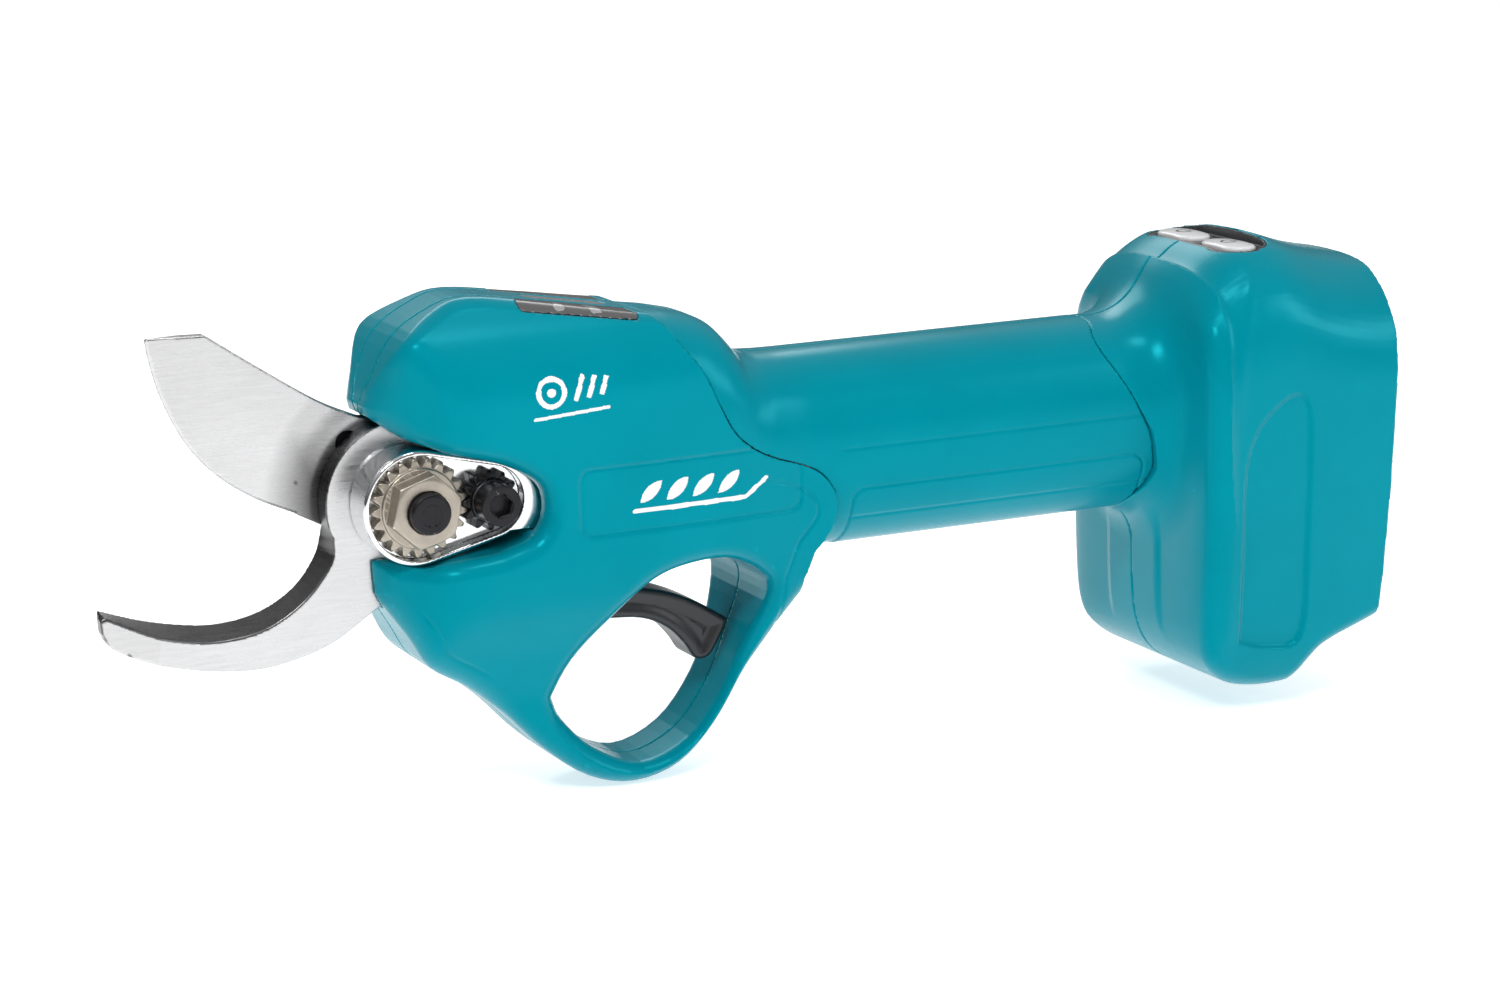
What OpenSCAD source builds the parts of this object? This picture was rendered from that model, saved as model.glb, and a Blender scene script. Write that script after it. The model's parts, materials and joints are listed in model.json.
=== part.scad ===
// Battery electric pruner, bare tool without its battery.
// Millimetres. +X points to the battery foot, -X to the blades, -Y is the tool's left side, +Z is up.
// The origin is the middle of the bounding box, on the plane the tool stands on.

/* [Drive axis] */
// Distance of the blade pivot in front of the origin
pivot_back = 94; // [92:0.5:96]
// Height of the blade pivot and of the motor axis
axis_z = 77.5; // [77:0.5:78]

/* [Housing] */
// Half the width of the head
head_half = 25; // [24.5:0.5:26]
// Half the width of the handle
grip_half = 21; // [20.8:0.1:22]
// Half the height of the handle
grip_rise = 25.2; // [24.8:0.1:26]
// Wall thickness of the plastic shells
wall = 2.4; // [2:0.1:2.6]
// Half the width of the battery foot
foot_half = 38; // [37.5:0.5:39]
// Half the width of the finger guard
guard_half = 13; // [11:0.5:14]

/* [Blades] */
// Thickness of the fixed counter blade
counter_t = 6; // [5:0.5:6]
// Thickness of the moving blade
blade_t = 4; // [3:0.5:4]

/* [Pivot hardware] */
// Diameter of the pivot bolt
bolt_d = 10; // [8:0.5:10]
// Width across the flats of the adjusting nut
nut_af = 16; // [15:0.5:17]
// Teeth of the adjusting nut's flange
nut_teeth = 21; // [21:1:21]
// Teeth of the lock gear
lock_teeth = 12; // [12:1:12]
// Module of the two locking tooth rings
lock_module = 1.08; // [1.04:0.01:1.09]

/* [Drive train] */
// Module of the planetary gears
planet_module = 0.7; // [0.65:0.01:0.7]
// Teeth of the sun gear
sun_teeth = 12; // [12:1:12]
// Teeth of each planet gear
planet_teeth = 18; // [18:1:18]
// Number of planet gears
planet_count = 3; // [3:1:3]
// Teeth of the bevel pinion
pinion_teeth = 10; // [10:1:10]
// Teeth that the blade's sector would have as a full wheel
sector_full = 40; // [40:1:40]
// Module of the bevel pair at its outer end
bevel_module = 1.4; // [1.3:0.05:1.4]

/* [Controls] */
// Width of the trigger
trigger_w = 13; // [10:0.5:13]
// Distance between the middles of the two top buttons
button_gap = 22; // [21:0.5:24]

/* [Hidden] */
$fn = 64;

gap = 0.1;
pivot = [-pivot_back, 0, axis_z];
teal = [0.0, 0.52, 0.58];
dark = [0.12, 0.12, 0.13];
steel = [0.78, 0.79, 0.80];
bright = [0.88, 0.89, 0.91];
bronze = [0.62, 0.54, 0.42];
copper = [0.80, 0.45, 0.22];
board = [0.05, 0.32, 0.16];

// ---------- helpers ----------

// Four-point spline between b and c at t
function spline(a, b, c, d, t) = 0.5 * (2 * b + (c - a) * t
    + (2 * a - 5 * b + 4 * c - d) * t * t + (3 * b - a - 3 * c + d) * t * t * t);

// A smooth open curve through the points p, with n steps between neighbours
function smooth(p, n = 3) = [
    for (i = [0 : len(p) - 2])
        for (k = [0 : (i == len(p) - 2 ? n : n - 1)])
            spline(p[max(i - 1, 0)], p[i], p[i + 1], p[min(i + 2, len(p) - 1)], k / n)
];

// Points of an arc about c
function arc(c, r, from, to, n = 12) = [
    for (i = [0 : n]) c + r * [cos(from + (to - from) * i / n), sin(from + (to - from) * i / n)]
];

// Points of a superellipse with half axes a and b
function squircle(a, b, power = 2.4, n = 36) = [
    for (i = [0 : n - 1])
        let (u = cos(360 * i / n), v = sin(360 * i / n))
        [a * sign(u) * pow(abs(u), 2 / power), b * sign(v) * pow(abs(v), 2 / power)]
];

// A side outline (X, Z) given the width from y0 to y1
module across(y0, y1) {
    translate([0, y1, 0]) rotate([90, 0, 0]) linear_extrude(y1 - y0) children();
}

// A front outline (Y, Z) drawn out from x0 to x1
module along(x0, x1) {
    translate([x0, 0, 0]) rotate([90, 0, 90]) linear_extrude(x1 - x0) children();
}

// A round bar along X about the motor axis
module bar_x(r, x0, x1, fn = 64) {
    translate([x0, 0, axis_z]) rotate([0, 90, 0]) cylinder(r = r, h = x1 - x0, $fn = fn);
}

// A round bar along Y at (x, z)
module bar_y(r, y0, y1, x = -pivot_back, z = axis_z, fn = 64) {
    translate([x, y1, z]) rotate([90, 0, 0]) cylinder(r = r, h = y1 - y0, $fn = fn);
}

// A tube round the motor axis
module ring_x(r_out, r_in, x0, x1) {
    difference() {
        bar_x(r_out, x0, x1);
        bar_x(r_in, x0 - 1, x1 + 1);
    }
}

// An outline of two unequal circles d apart, joined by their tangents
module teardrop(r1, r2, d) {
    a = acos((r1 - r2) / d);
    polygon(concat(arc([0, 0], r1, a, 360 - a, 40), arc([d, 0], r2, -a, a, 24)));
}

// A bar with round ends, len over its ends, w wide
module pill(len, w) {
    square([len - w, w], center = true);
    for (s = [-1, 1]) translate([s * (len - w) / 2, 0]) circle(w / 2);
}

// Involute function in degrees
function inv(a) = tan(a) * 180 / PI - a;

// One tooth flank: [radius, half angle] from the root to the tip
function flank(n, m, r_low, r_high, slack) = [
    for (k = [0 : 4])
        let (
            rb = n * m / 2 * cos(20),
            r = r_low + (r_high - r_low) * k / 4,
            a = r > rb ? acos(rb / r) : 0,
            half = 90 / n + inv(20) - inv(a) - slack / (n * m / 2) * 90 / PI
        ) [r, half]
];

// Outline of a spur gear with n teeth; slack thins each tooth, tip and root are its heights in modules
module gear_outline(n, m, slack = 0.16, tip = 0.9, root = 1.2) {
    f = flank(n, m, n * m / 2 - root * m, n * m / 2 + tip * m, slack);
    polygon([
        for (i = [0 : n - 1])
            for (p = concat([for (q = f) [q[0], -q[1]]], [for (k = [4 : -1 : 0]) [f[k][0], f[k][1]]]))
                p[0] * [cos(360 * i / n + p[1]), sin(360 * i / n + p[1])]
    ]);
}

// A tube swept along the points of path
module tube(path, r, sides = 8) {
    last = len(path) - 1;
    function way(i) = path[min(i + 1, last)] - path[max(i - 1, 0)];
    function side(d) = let (s = cross(d, abs(d[2]) < 0.8 * norm(d) ? [0, 0, 1] : [0, 1, 0])) s / norm(s);
    function ring(i) = let (d = way(i), u = side(d), v = cross(d, u) / norm(d))
        [for (k = [0 : sides - 1]) path[i] + r * (u * cos(360 * k / sides) + v * sin(360 * k / sides))];
    points = [for (i = [0 : last]) for (p = ring(i)) p];
    walls = [
        for (i = [0 : last - 1])
            for (k = [0 : sides - 1])
                let (a = i * sides + k, b = i * sides + (k + 1) % sides)
                each [[a, a + sides, b], [b, a + sides, b + sides]]
    ];
    start = [for (k = [1 : sides - 2]) [0, k, k + 1]];
    end = [for (k = [1 : sides - 2]) [last * sides, last * sides + k + 1, last * sides + k]];
    polyhedron(points, concat(walls, start, end), convexity = 6);
}

// ---------- outlines of the housing ----------

head_top = smooth([[-105, 101], [-102.5, 107], [-96.5, 117.6], [-86, 123.6], [-77, 125.8], [-60, 123.4],
    [-40, 119.9], [-26, 117.2], [-19, 114.6], [-12.5, 108.4], [-6, 104.6], [2, 103.7]], 3);
head_bottom = smooth([[12, 51.6], [4.5, 43.5], [-6.9, 26], [-16, 12.3], [-26, 3.2], [-38, 0], [-50, 3.2],
    [-61.7, 11.8], [-72, 22.4], [-82, 30.8], [-92, 37.4], [-97.2, 46]], 3);
// The mouth that the blades and the case sit in, from the lower lobe round to the nose
mouth = concat(
    [[-97.2, 46], [-103.2, 56], [-103.6, 64.1], [-92, 63.7]],
    smooth([[-76, 65.4], [-68, 68], [-64.3, 72.6], [-64.3, 79], [-68, 83.2], [-76, 87.2], [-88, 90.6]], 3),
    [[-97, 94], [-104, 98.6]]);
grip_z = 78.5;
head_outline = concat(head_top, [[30, 103.7], [30, 53.4]], head_bottom, mouth);
finger_loop = smooth([[-59.6, 25], [-55, 34.4], [-47, 43.8], [-38, 52.4], [-29, 56.1], [-16, 56.7],
    [-6.2, 52], [-3.6, 46], [-7.6, 34.5], [-13.6, 20.8], [-23, 9.6], [-36, 5], [-48.6, 10.4], [-57, 19],
    [-59.6, 25]], 3);
head_room = concat(
    smooth([[-100.5, 102.6], [-98.8, 107], [-93.8, 115.6], [-84.8, 120.8], [-76.6, 122.9], [-60, 120.6],
        [-40, 117], [-27, 114.4], [-21, 111.6], [-15, 105.6], [-8, 101.4]], 2),
    [[35, 100.6], [35, 56.6], [-4, 56.6], [-8, 57.4], [-14, 59.4], [-30, 59], [-40, 54.8], [-49, 46],
        [-57.4, 36], [-62.6, 25.6], [-64, 19], [-73, 26.2], [-82.6, 33.8], [-90, 39.2], [-94, 47.4],
        [-99.6, 57.6], [-99.8, 61], [-92, 60.8], [-76, 62.4], [-66, 65.4], [-61.4, 71.4], [-61.4, 80],
        [-66.4, 85.4], [-75, 89.8], [-88, 93.4], [-96, 96.6]]);
// Everything in front of the seam between head covers and handle
head_region = concat(
    [[-34, 140], [-33.4, 118]],
    smooth([[-30.6, 113.4], [-25.6, 102.6], [-16, 88.4], [-3, 83], [8, 79.6], [13.6, 73.4], [14.6, 66],
        [12.4, 58.6], [8, 52.6]], 3),
    [[6, 48], [6, -5], [-120, -5], [-120, 140]]);
band_region = [[-110, 92], [-88, 92], [-88, 112], [-60, 116], [-20, 116], [-20, 140], [-110, 140]];

// Limits of the head's width, seen from the front and from above
module head_front_limit(inset) {
    w = head_half - inset;
    g = guard_half - inset;
    polygon([for (s = [1, -1])
        each let (half = [[g - 2, -1 + inset], [g, 3], [g, 26], [g + 4, 38], [w - 2, 52], [w, 60],
            [w, 106], [w - 4, 114.5], [w - 11, 123.5 - inset], [w - 14, 126.6 - inset]])
            s > 0 ? half : [for (i = [len(half) - 1 : -1 : 0]) [-half[i][0], half[i][1]]]]);
}

module head_top_limit(inset) {
    w = head_half - inset;
    far = 40;
    polygon([[-107 + inset, 6], [-102 + inset, w - 9], [-92 + inset, w - 1.5], [-84, w], [-34, w],
        [-14, w - 2], [4, w - 4], [far, w - 4.4], [far, 4.4 - w], [4, 4 - w], [-14, 2 - w], [-34, -w],
        [-84, -w], [-92 + inset, 1.5 - w], [-102 + inset, 9 - w], [-107 + inset, -6]]);
}

module head_limits(inset) {
    intersection() {
        along(-120, 40) head_front_limit(inset);
        translate([0, 0, -5]) linear_extrude(140) head_top_limit(inset);
    }
}

module head_block() {
    intersection() {
        across(-30, 30) difference() {
            polygon(head_outline);
            polygon(finger_loop);
        }
        head_limits(0);
    }
}

module head_hollow() {
    intersection() {
        across(-30, 30) polygon(head_room);
        head_limits(wall);
    }
}

// A cross-section of the grip at x, grown by d
module grip_slice(x, a, b, thick = 0.1) {
    along(x, x + thick) translate([0, grip_z]) polygon(squircle(a, b));
}

// The handle's inner outline, drawn back into the foot
module grip_passage() {
    along(60, 120) translate([0, grip_z]) polygon(squircle(grip_half - wall, grip_rise - wall));
}

// The flare from the grip to the foot
module neck(inset) {
    steps = [[96.9, 21, 25.2], [101, 21.9, 26.4], [105, 24.2, 29.6], [108.6, 28, 34], [112.5, 34, 38.6]];
    for (i = [0 : len(steps) - 2])
        hull() for (s = [steps[i], steps[i + 1]])
            grip_slice(s[0] - inset * 0.4, s[1] - inset, s[2] - inset);
}

// Half outlines (Y, Z) of the foot at several stations, lowest point first
foot_stations = [
    [111, [[26, 31], [32, 39], [33, 88], [28, 99], [18, 107]]],
    [114, [[27, 22], [36, 30], [37, 90], [32, 103], [20, 112.6]]],
    [120, [[27, 13], [37, 20], [38, 88], [35.6, 103], [28, 113.6], [16, 118.6]]],
    [127, [[28, 7.8], [37, 13], [38, 88], [36, 102], [29.5, 114.6], [22, 119.6], [10, 121.4]]],
    [138, [[28, 5.4], [36.6, 9.5], [38, 88], [36, 102], [29.5, 115], [22, 121], [10, 123.2]]],
    [169.5, [[32, 16], [35, 30], [37.3, 53], [38, 84], [35.4, 97], [29, 106], [19, 112.6], [8, 116.4]]]
];

module foot_hull(inset) {
    k = (foot_half - inset) / 38;
    mid = 66;
    kz = 1 - inset / 56;
    hull() for (s = foot_stations)
        along(s[0] + (s[0] < 120 ? inset : 0), s[0] + (s[0] < 120 ? inset : 0) + 0.1)
            polygon([for (m = [1, -1]) for (p = s[1]) [m * p[0] * k, mid + (p[1] - mid) * kz]]);
}

lean = 3.1;
rear_x = 168.2;
rear_z = 60;
bay_depth = 10.5;

// Everything behind the battery plane, moved forward by d
module behind_plane(d = 0) {
    translate([rear_x - d, 0, rear_z]) rotate([0, lean, 0]) translate([0, -60, -90]) cube([60, 120, 180]);
}

// The latch cut under the rear of the foot
module latch_cut(up = 0) {
    across(-60, 60) polygon([[139.4, 4.8 + up], [142.4, 6.2 + up], [146.6, 11.4 + up], [150.4, 14.8 + up],
        [156, 17.4 + up], [175, 24.8 + up], [175, -10], [130, -10], [130, 4.8 + up]]);
}

panel_x = 134;
panel_z = 117.6;
panel_length = 45;
panel_width = 16;

// The recess for the button panel, and the panel itself
module panel_slot(grow, z0, z1) {
    translate([panel_x, 0, z0]) rotate([0, 0, 90]) linear_extrude(z1 - z0)
        pill(panel_length + 2 * grow, panel_width + 2 * grow);
}

module foot_block() {
    difference() {
        union() {
            foot_hull(0);
            neck(0);
        }
        behind_plane();
        latch_cut();
        panel_slot(0, panel_z - 0.1, 130);
    }
}

module foot_hollow() {
    difference() {
        union() {
            foot_hull(wall);
            neck(wall);
        }
        behind_plane(bay_depth + wall);
        latch_cut(wall + 1);
        panel_slot(wall, panel_z - 0.1 - wall, 130);
    }
}

// The open space that the battery slides into
module battery_bay() {
    intersection() {
        foot_hull(wall + 0.8);
        behind_plane(bay_depth);
    }
    intersection() {
        behind_plane(bay_depth);
        translate([100, -32, -5]) cube([100, 64, 60]);
    }
}

rail_y = 30;

// The two guide rails of the battery
module battery_rails() {
    difference() {
        intersection() {
            for (s = [-1, 1])
                translate([140, s * rail_y + (s > 0 ? 0 : -5.5), 30]) cube([40, 5.5, 58]);
            behind_plane(4.5);
            foot_hull(0.6);
        }
        behind_plane();
    }
}

// ---------- housing ----------

module left_half() {
    intersection() {
        children();
        translate([-200, -60, -10]) cube([400, 60 - gap / 2, 160]);
    }
}

module right_half() {
    intersection() {
        children();
        translate([-200, gap / 2, -10]) cube([400, 60, 160]);
    }
}

pin_x = -53;
spring_x = -62.2;
spring_z0 = 33.4;
pin_z = 47.5;
blade_y0 = -counter_t - 0.3;
blade_y1 = blade_t + 9.2;

// Room for the blades, the sector and the case inside the head
module mechanism_room() {
    bar_y(32.6, blade_y0 - 0.2, blade_y1);
    across(blade_y0, blade_t + 0.5) polygon([[-120, 34], [-94, 43], [-78, 56], [-80, 66], [-120, 66]]);
    across(-17.4, 18.2) translate([-pivot_back, axis_z]) teardrop(14.6, 10.4, lock_pitch());
    across(-17.4, 18.4) translate([-80, axis_z - 8.4]) square([26, 16.8]);
    bar_x(20.6, -60.4, -20);
}

module trigger_room() {
    across(-trigger_w / 2 - 0.5, trigger_w / 2 + 0.5)
        polygon([[-62, 44], [-57, 36], [-46, 36.6], [-30, 39], [-26, 58.4], [-46, 58.4]]);
}

// The boss that holds one end of the trigger pin
module pin_boss(s) {
    from = trigger_w / 2 + 0.6;
    bar_y(4.4, s > 0 ? from : 3 - head_half, s > 0 ? head_half - 3 : -from, pin_x, pin_z);
}

module head_body() {
    difference() {
        intersection() {
            head_block();
            across(-40, 40) polygon(head_region);
        }
        head_hollow();
        mechanism_room();
        trigger_room();
        across(-40, 40) polygon(head_room_rear);
    }
}

head_room_rear = [[-20, 56.4], [40, 56.4], [40, 100.8], [-20, 100.8]];

module lens_window(grow) {
    for (s = [-1, 1])
        translate([-48.2, s * 16.6, 120.5]) rotate([0, 9.4, 0]) rotate([-s * 49, 0, 0])
            translate([0, 0, -4]) linear_extrude(8) pill(28 + 2 * grow, 5 + 2 * grow);
}

// Both head covers in one, with the boss for the trigger pin on side s
module head_covers(s) {
    difference() {
        union() {
            head_body();
            intersection() {
                union() {
                    screw_bosses(head_screws);
                    pin_boss(s);
                    across(-5, 5) translate([spring_x - 4.6, spring_z0 - 2.5]) square([8, 2.4]);
                }
                head_limits(1);
            }
        }
        across(-6.05, 6.05) polygon(band_region);
        lens_window(0.1);
        screw_holes(head_screws);
        bar_y(2.05, -17.6, 17.6, pin_x, pin_z);
    }
}

module head_left_cover() {
    color(teal) left_half() head_covers(-1);
}

module head_right_cover() {
    color(teal) right_half() head_covers(1);
}

module head_band() {
    color(teal) difference() {
        intersection() {
            head_body();
            across(-5.95, 5.95) polygon(band_region);
        }
        translate([-48, 0, 110]) linear_extrude(20) pill(26.2, 7.2);
    }
}

// Sections of the shoulder behind the head: [x, half width, lowest z, highest z, power]
shoulder_stations = [[-36, 24.9, 50, 118.6, 3.6], [-26, 24.4, 51, 117.2, 3.4], [-19, 23.8, 52, 114.4, 3],
    [-12.5, 23.1, 52.8, 108.6, 2.8], [-5, 22.2, 53.2, 104.8, 2.6], [8, 21, 53.3, 103.7, 2.4]];

// One section of the shoulder, drawn in by d
module shoulder_slice(s, d) {
    along(s[0], s[0] + 0.1) translate([0, (s[2] + s[3]) / 2])
        polygon(squircle(s[1] - d, (s[3] - s[2]) / 2 - d, s[4]));
}

module shoulder(d) {
    for (i = [0 : len(shoulder_stations) - 2])
        hull() {
            shoulder_slice(shoulder_stations[i], d);
            shoulder_slice(shoulder_stations[i + 1], d);
        }
}

module handle_body() {
    difference() {
        union() {
            difference() {
                union() {
                    shoulder(0);
                    along(8, 96.8) translate([0, grip_z]) polygon(squircle(grip_half, grip_rise));
                }
                shoulder(wall);
                along(-2, 97) translate([0, grip_z]) polygon(squircle(grip_half - wall, grip_rise - wall));
            }
            motor_ribs();
            intersection() {
                screw_bosses(handle_screws);
                along(8, 96.8) translate([0, grip_z]) polygon(squircle(grip_half - 1, grip_rise - 1));
            }
        }
        across(-40, 40) translate([gap, 0]) polygon(head_region);
        screw_holes(handle_screws);
    }
}

module motor_ribs() {
    for (x = [-6, 3])
        difference() {
            along(x, x + 2.5) translate([0, grip_z])
                polygon(squircle(grip_half - wall / 2, grip_rise - wall / 2));
            bar_x(17.4, x - 1, x + 4);
        }
}

module handle_left_shell() {
    color(teal) left_half() handle_body();
}

module handle_right_shell() {
    color(teal) right_half() handle_body();
}

module foot_body() {
    difference() {
        union() {
            difference() {
                foot_block();
                foot_hollow();
            }
            intersection() {
                screw_bosses(foot_screws);
                foot_hull(1);
            }
        }
        battery_bay();
        grip_passage();
        translate([block_x0 - 0.2, -21.1, 41.9]) cube([12, 42.2, 40.2]);
        screw_holes(foot_screws);
    }
    battery_rails();
}

module foot_left_shell() {
    color(teal) left_half() foot_body();
}

module foot_right_shell() {
    color(teal) right_half() foot_body();
}

// ---------- cutting head ----------

function lock_pitch() = (nut_teeth + lock_teeth) * lock_module / 2;
case_front = -17;
case_near = -counter_t - 0.15;
case_far = blade_t + 9;
case_back = case_far + 5;
floor_y = case_front + 3.6;

module gear_case() {
    color(bright) difference() {
        union() {
            across(case_front, case_near) translate([-pivot_back, axis_z]) teardrop(14, 9.8, lock_pitch());
            across(case_far, case_back) translate([-pivot_back, axis_z]) teardrop(14, 9.8, lock_pitch());
            across(case_front, case_near) translate([-80, axis_z - 8]) square([26, 16]);
            across(case_far, case_back) translate([-80, axis_z - 8]) square([26, 16]);
            bar_x(20.2, -60, -31.5);
        }
        across(case_front - 1, floor_y) translate([-pivot_back, axis_z]) teardrop(12.9, 8.7, lock_pitch());
        bar_y(bolt_d / 2 + 0.05, -30, 30);
        bar_y(3.05, -30, 0, -pivot_back + lock_pitch());
        bar_y(31.8, case_near, case_far);
        bar_x(8.6, -76, -57.9);
        bar_x(11.05, -58, -44);
        bar_x(18.75, -46.8, -30);
    }
}

counter_inner = smooth([[-169.3, 58.6], [-158.5, 54], [-148, 50.9], [-139.4, 50], [-129.6, 51.6], [-121, 56.8],
    [-114.4, 64.8]], 4);
counter_outer = smooth([[-94, 56], [-103.4, 50.8], [-112, 45.4], [-121, 42.2], [-132, 40.6], [-144.4, 41.8],
    [-157, 45], [-166.4, 49.4], [-169, 53.6], [-169.6, 57.8]], 4);

counter_hub = 19.8;
counter_pin_at = [-70, 30];

module counter_blade() {
    color(steel) difference() {
        across(-counter_t, 0)
            polygon(concat(counter_inner, arc([-pivot_back, axis_z], counter_hub, 196, -60, 40), counter_outer));
        bar_y(bolt_d / 2 + 0.05, -30, 30);
        bar_x(8.6, -76, -60);
        for (a = counter_pin_at) hub_bar(a, 1.5, -30, 30);
    }
}

// A bar along Y on the hub, at angle a
module hub_bar(a, r, y0, y1) {
    bar_y(r, y0, y1, -pivot_back + 13.5 * cos(a), axis_z + 13.5 * sin(a));
}

module counter_blade_pins() {
    color(dark) for (a = counter_pin_at) hub_bar(a, 1.5, -counter_t, 0);
}

blade_spine = smooth([[-139.2, 120.8], [-126, 111.6], [-112, 102.4], [-102, 97.6]], 4);
blade_edge = smooth([[-119, 75.6], [-129, 80.4], [-138.4, 87.2], [-145.6, 95.8], [-150.6, 106.4],
    [-153, 115], [-154, 121.3]], 4);
bush_t = 1.4;

module upper_blade() {
    color(steel) difference() {
        across(gap / 2, blade_t)
            polygon(concat(blade_spine, arc([-pivot_back, axis_z], 18.6, 86, -162, 40), blade_edge));
        bar_y(bolt_d / 2 + bush_t + 0.02, -30, 30);
        bar_y(3, -30, 30, -105.6, 91.6);
        for (a = sector_pin_at) hub_bar(a, 2, -30, 30);
    }
}

module blade_bush() {
    color(bronze) difference() {
        bar_y(bolt_d / 2 + bush_t, gap / 2, case_far - 1.2);
        bar_y(bolt_d / 2 + 0.05, -1, 30);
    }
}

sector_pin_at = [60, 200, 290];

module sector_pins() {
    color(dark) for (a = sector_pin_at) hub_bar(a, 2, gap / 2, blade_t + 3);
}

pinion_r = pinion_teeth * bevel_module / 2;
sector_r = sector_full * bevel_module / 2;
cone = norm([pinion_r, sector_r]);
tooth_from = 20 / cone;
sector_start = -66;
sector_teeth = 9;

// One tapered tooth of the sector, scaled towards the apex on the pivot axis
module sector_tooth(angle) {
    half = 360 / sector_full * 0.19;
    low = pinion_r - 1;
    high = pinion_r + 1.6;
    points = [for (k = [1, tooth_from]) for (c = [[k * low, half * 0.62], [high, half * 1.75]]) for (s = [-1, 1])
        [k * sector_r * cos(angle + s * c[1]), c[0], k * sector_r * sin(angle + s * c[1])]];
    polyhedron(points, [[0, 1, 3, 2], [4, 6, 7, 5], [0, 4, 5, 1], [2, 3, 7, 6], [0, 2, 6, 4], [1, 5, 7, 3]]);
}

module blade_sector_gear() {
    body_y = pinion_r + 1.4;
    color(steel) difference() {
        union() {
            bar_y(18.4, blade_t + gap / 2, case_far - 1.2);
            across(body_y, case_far - 1.2) translate([-pivot_back, axis_z])
                polygon(concat([[0, 0]], arc([0, 0], sector_r + 1.2, sector_start, sector_start + 81, 24)));
            translate(pivot) for (i = [0 : sector_teeth - 1])
                sector_tooth(sector_start + 3 + 9 * i);
        }
        bar_y(bolt_d / 2 + bush_t + 0.02, -30, 30);
        for (a = sector_pin_at) hub_bar(a, 2, -30, blade_t + 3);
    }
}

module pivot_bolt() {
    color(dark) {
        bar_y(bolt_d / 2, -24.4, case_back + 0.1);
        bar_y(bolt_d / 2 - 0.5, -25, -24.3);
        bar_y(8, case_back + 0.05, case_back + 5.5, fn = 6);
    }
}

module adjusting_nut() {
    color(bronze) difference() {
        union() {
            across(floor_y - 3.4, floor_y) translate([-pivot_back, axis_z]) rotate(180 / nut_teeth)
                gear_outline(nut_teeth, lock_module, 0.3, 0.9, 1.1);
            translate([-pivot_back, floor_y - 3.3, axis_z]) rotate([90, 17, 0])
                cylinder(d = nut_af / cos(30), h = 5.7, $fn = 6);
        }
        bar_y(bolt_d / 2, -40, 0);
    }
}

module lock_gear() {
    color(dark) difference() {
        across(floor_y - 5.2, floor_y) translate([-pivot_back + lock_pitch(), axis_z])
            gear_outline(lock_teeth, lock_module, 0.3, 0.9, 1.1);
        bar_y(3.05, -40, 0, -pivot_back + lock_pitch());
    }
}

module lock_bolt() {
    x = -pivot_back + lock_pitch();
    color(dark) difference() {
        union() {
            bar_y(5, floor_y - 11, floor_y - 5.2, x);
            bar_y(3, floor_y - 5.3, case_near, x);
        }
        bar_y(2.9, floor_y - 12, floor_y - 8, x, fn = 6);
    }
}

module thrust_washer() {
    color(bronze) difference() {
        bar_y(9, case_far - 1.1, case_far);
        bar_y(bolt_d / 2 + 0.05, -30, 30);
    }
}

// ---------- drive train ----------

pinion_x1 = -pivot_back + sector_r;
shaft_r = 4;

module bevel_pinion() {
    length = (cone - 20) * cos(atan(pinion_r / sector_r));
    color(steel) {
        translate([pinion_x1, 0, axis_z]) rotate([0, -90, 0])
            linear_extrude(height = length, scale = tooth_from) gear_outline(pinion_teeth, bevel_module, 0.62, 0.7, 1.15);
        bar_x(pinion_r - 1.2, pinion_x1 - 0.05, -58.4);
        bar_x(shaft_r, -58.5, -46.6);
    }
}

module pinion_bearings() {
    color(steel) for (x = [-57.9, -52.1]) {
        ring_x(11, 8.9, x, x + 5);
        ring_x(6.2, shaft_r + 0.02, x, x + 5);
        for (a = [0 : 45 : 315])
            translate([x + 2.5, 7.55 * cos(a), axis_z + 7.55 * sin(a)]) sphere(1.45, $fn = 24);
    }
}

planet_r = (sun_teeth + planet_teeth) * planet_module / 2;
ring_teeth = sun_teeth + 2 * planet_teeth;
gear_x0 = -43.6;
gear_x1 = -34;

module planet_carrier() {
    color(steel) difference() {
        union() {
            bar_x(15.6, -46.4, -44.2);
        }
        for (i = [0 : planet_count - 1]) planet_bar(i, 1.5, -50, -40);
        bar_x(shaft_r - 1, -50, -43);
    }
}

// A bar along X at planet i's centre
module planet_bar(i, r, x0, x1) {
    a = 360 * i / planet_count;
    translate([0, planet_r * cos(a), planet_r * sin(a)]) bar_x(r, x0, x1, 32);
}

module planet_pins() {
    color(steel) for (i = [0 : planet_count - 1]) planet_bar(i, 1.5, -46.4, gear_x1);
}

module planet_gear(i) {
    a = 360 * i / planet_count;
    color(steel) difference() {
        translate([gear_x0, planet_r * cos(a), axis_z + planet_r * sin(a)]) rotate([90, 0, 90])
            rotate(a + 180 + 180 / planet_teeth) linear_extrude(gear_x1 - gear_x0)
                gear_outline(planet_teeth, planet_module);
        planet_bar(i, 1.55, gear_x0 - 1, gear_x1 + 1);
    }
}

module ring_gear() {
    color(steel) translate([gear_x0 - 0.3, 0, axis_z]) rotate([90, 0, 90]) linear_extrude(11)
        difference() {
            circle(18.7);
            rotate(180 / ring_teeth * (planet_teeth % 2 == 0 ? 1 : 0))
                gear_outline(ring_teeth, planet_module, -0.16, 1.25, 0.8);
        }
}

module sun_gear() {
    color(steel) difference() {
        translate([gear_x0 + 0.4, 0, axis_z]) rotate([90, 0, 90]) linear_extrude(gear_x1 - gear_x0 + 0.6)
            gear_outline(sun_teeth, planet_module);
        bar_x(2, -50, -20, 32);
    }
}

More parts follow.
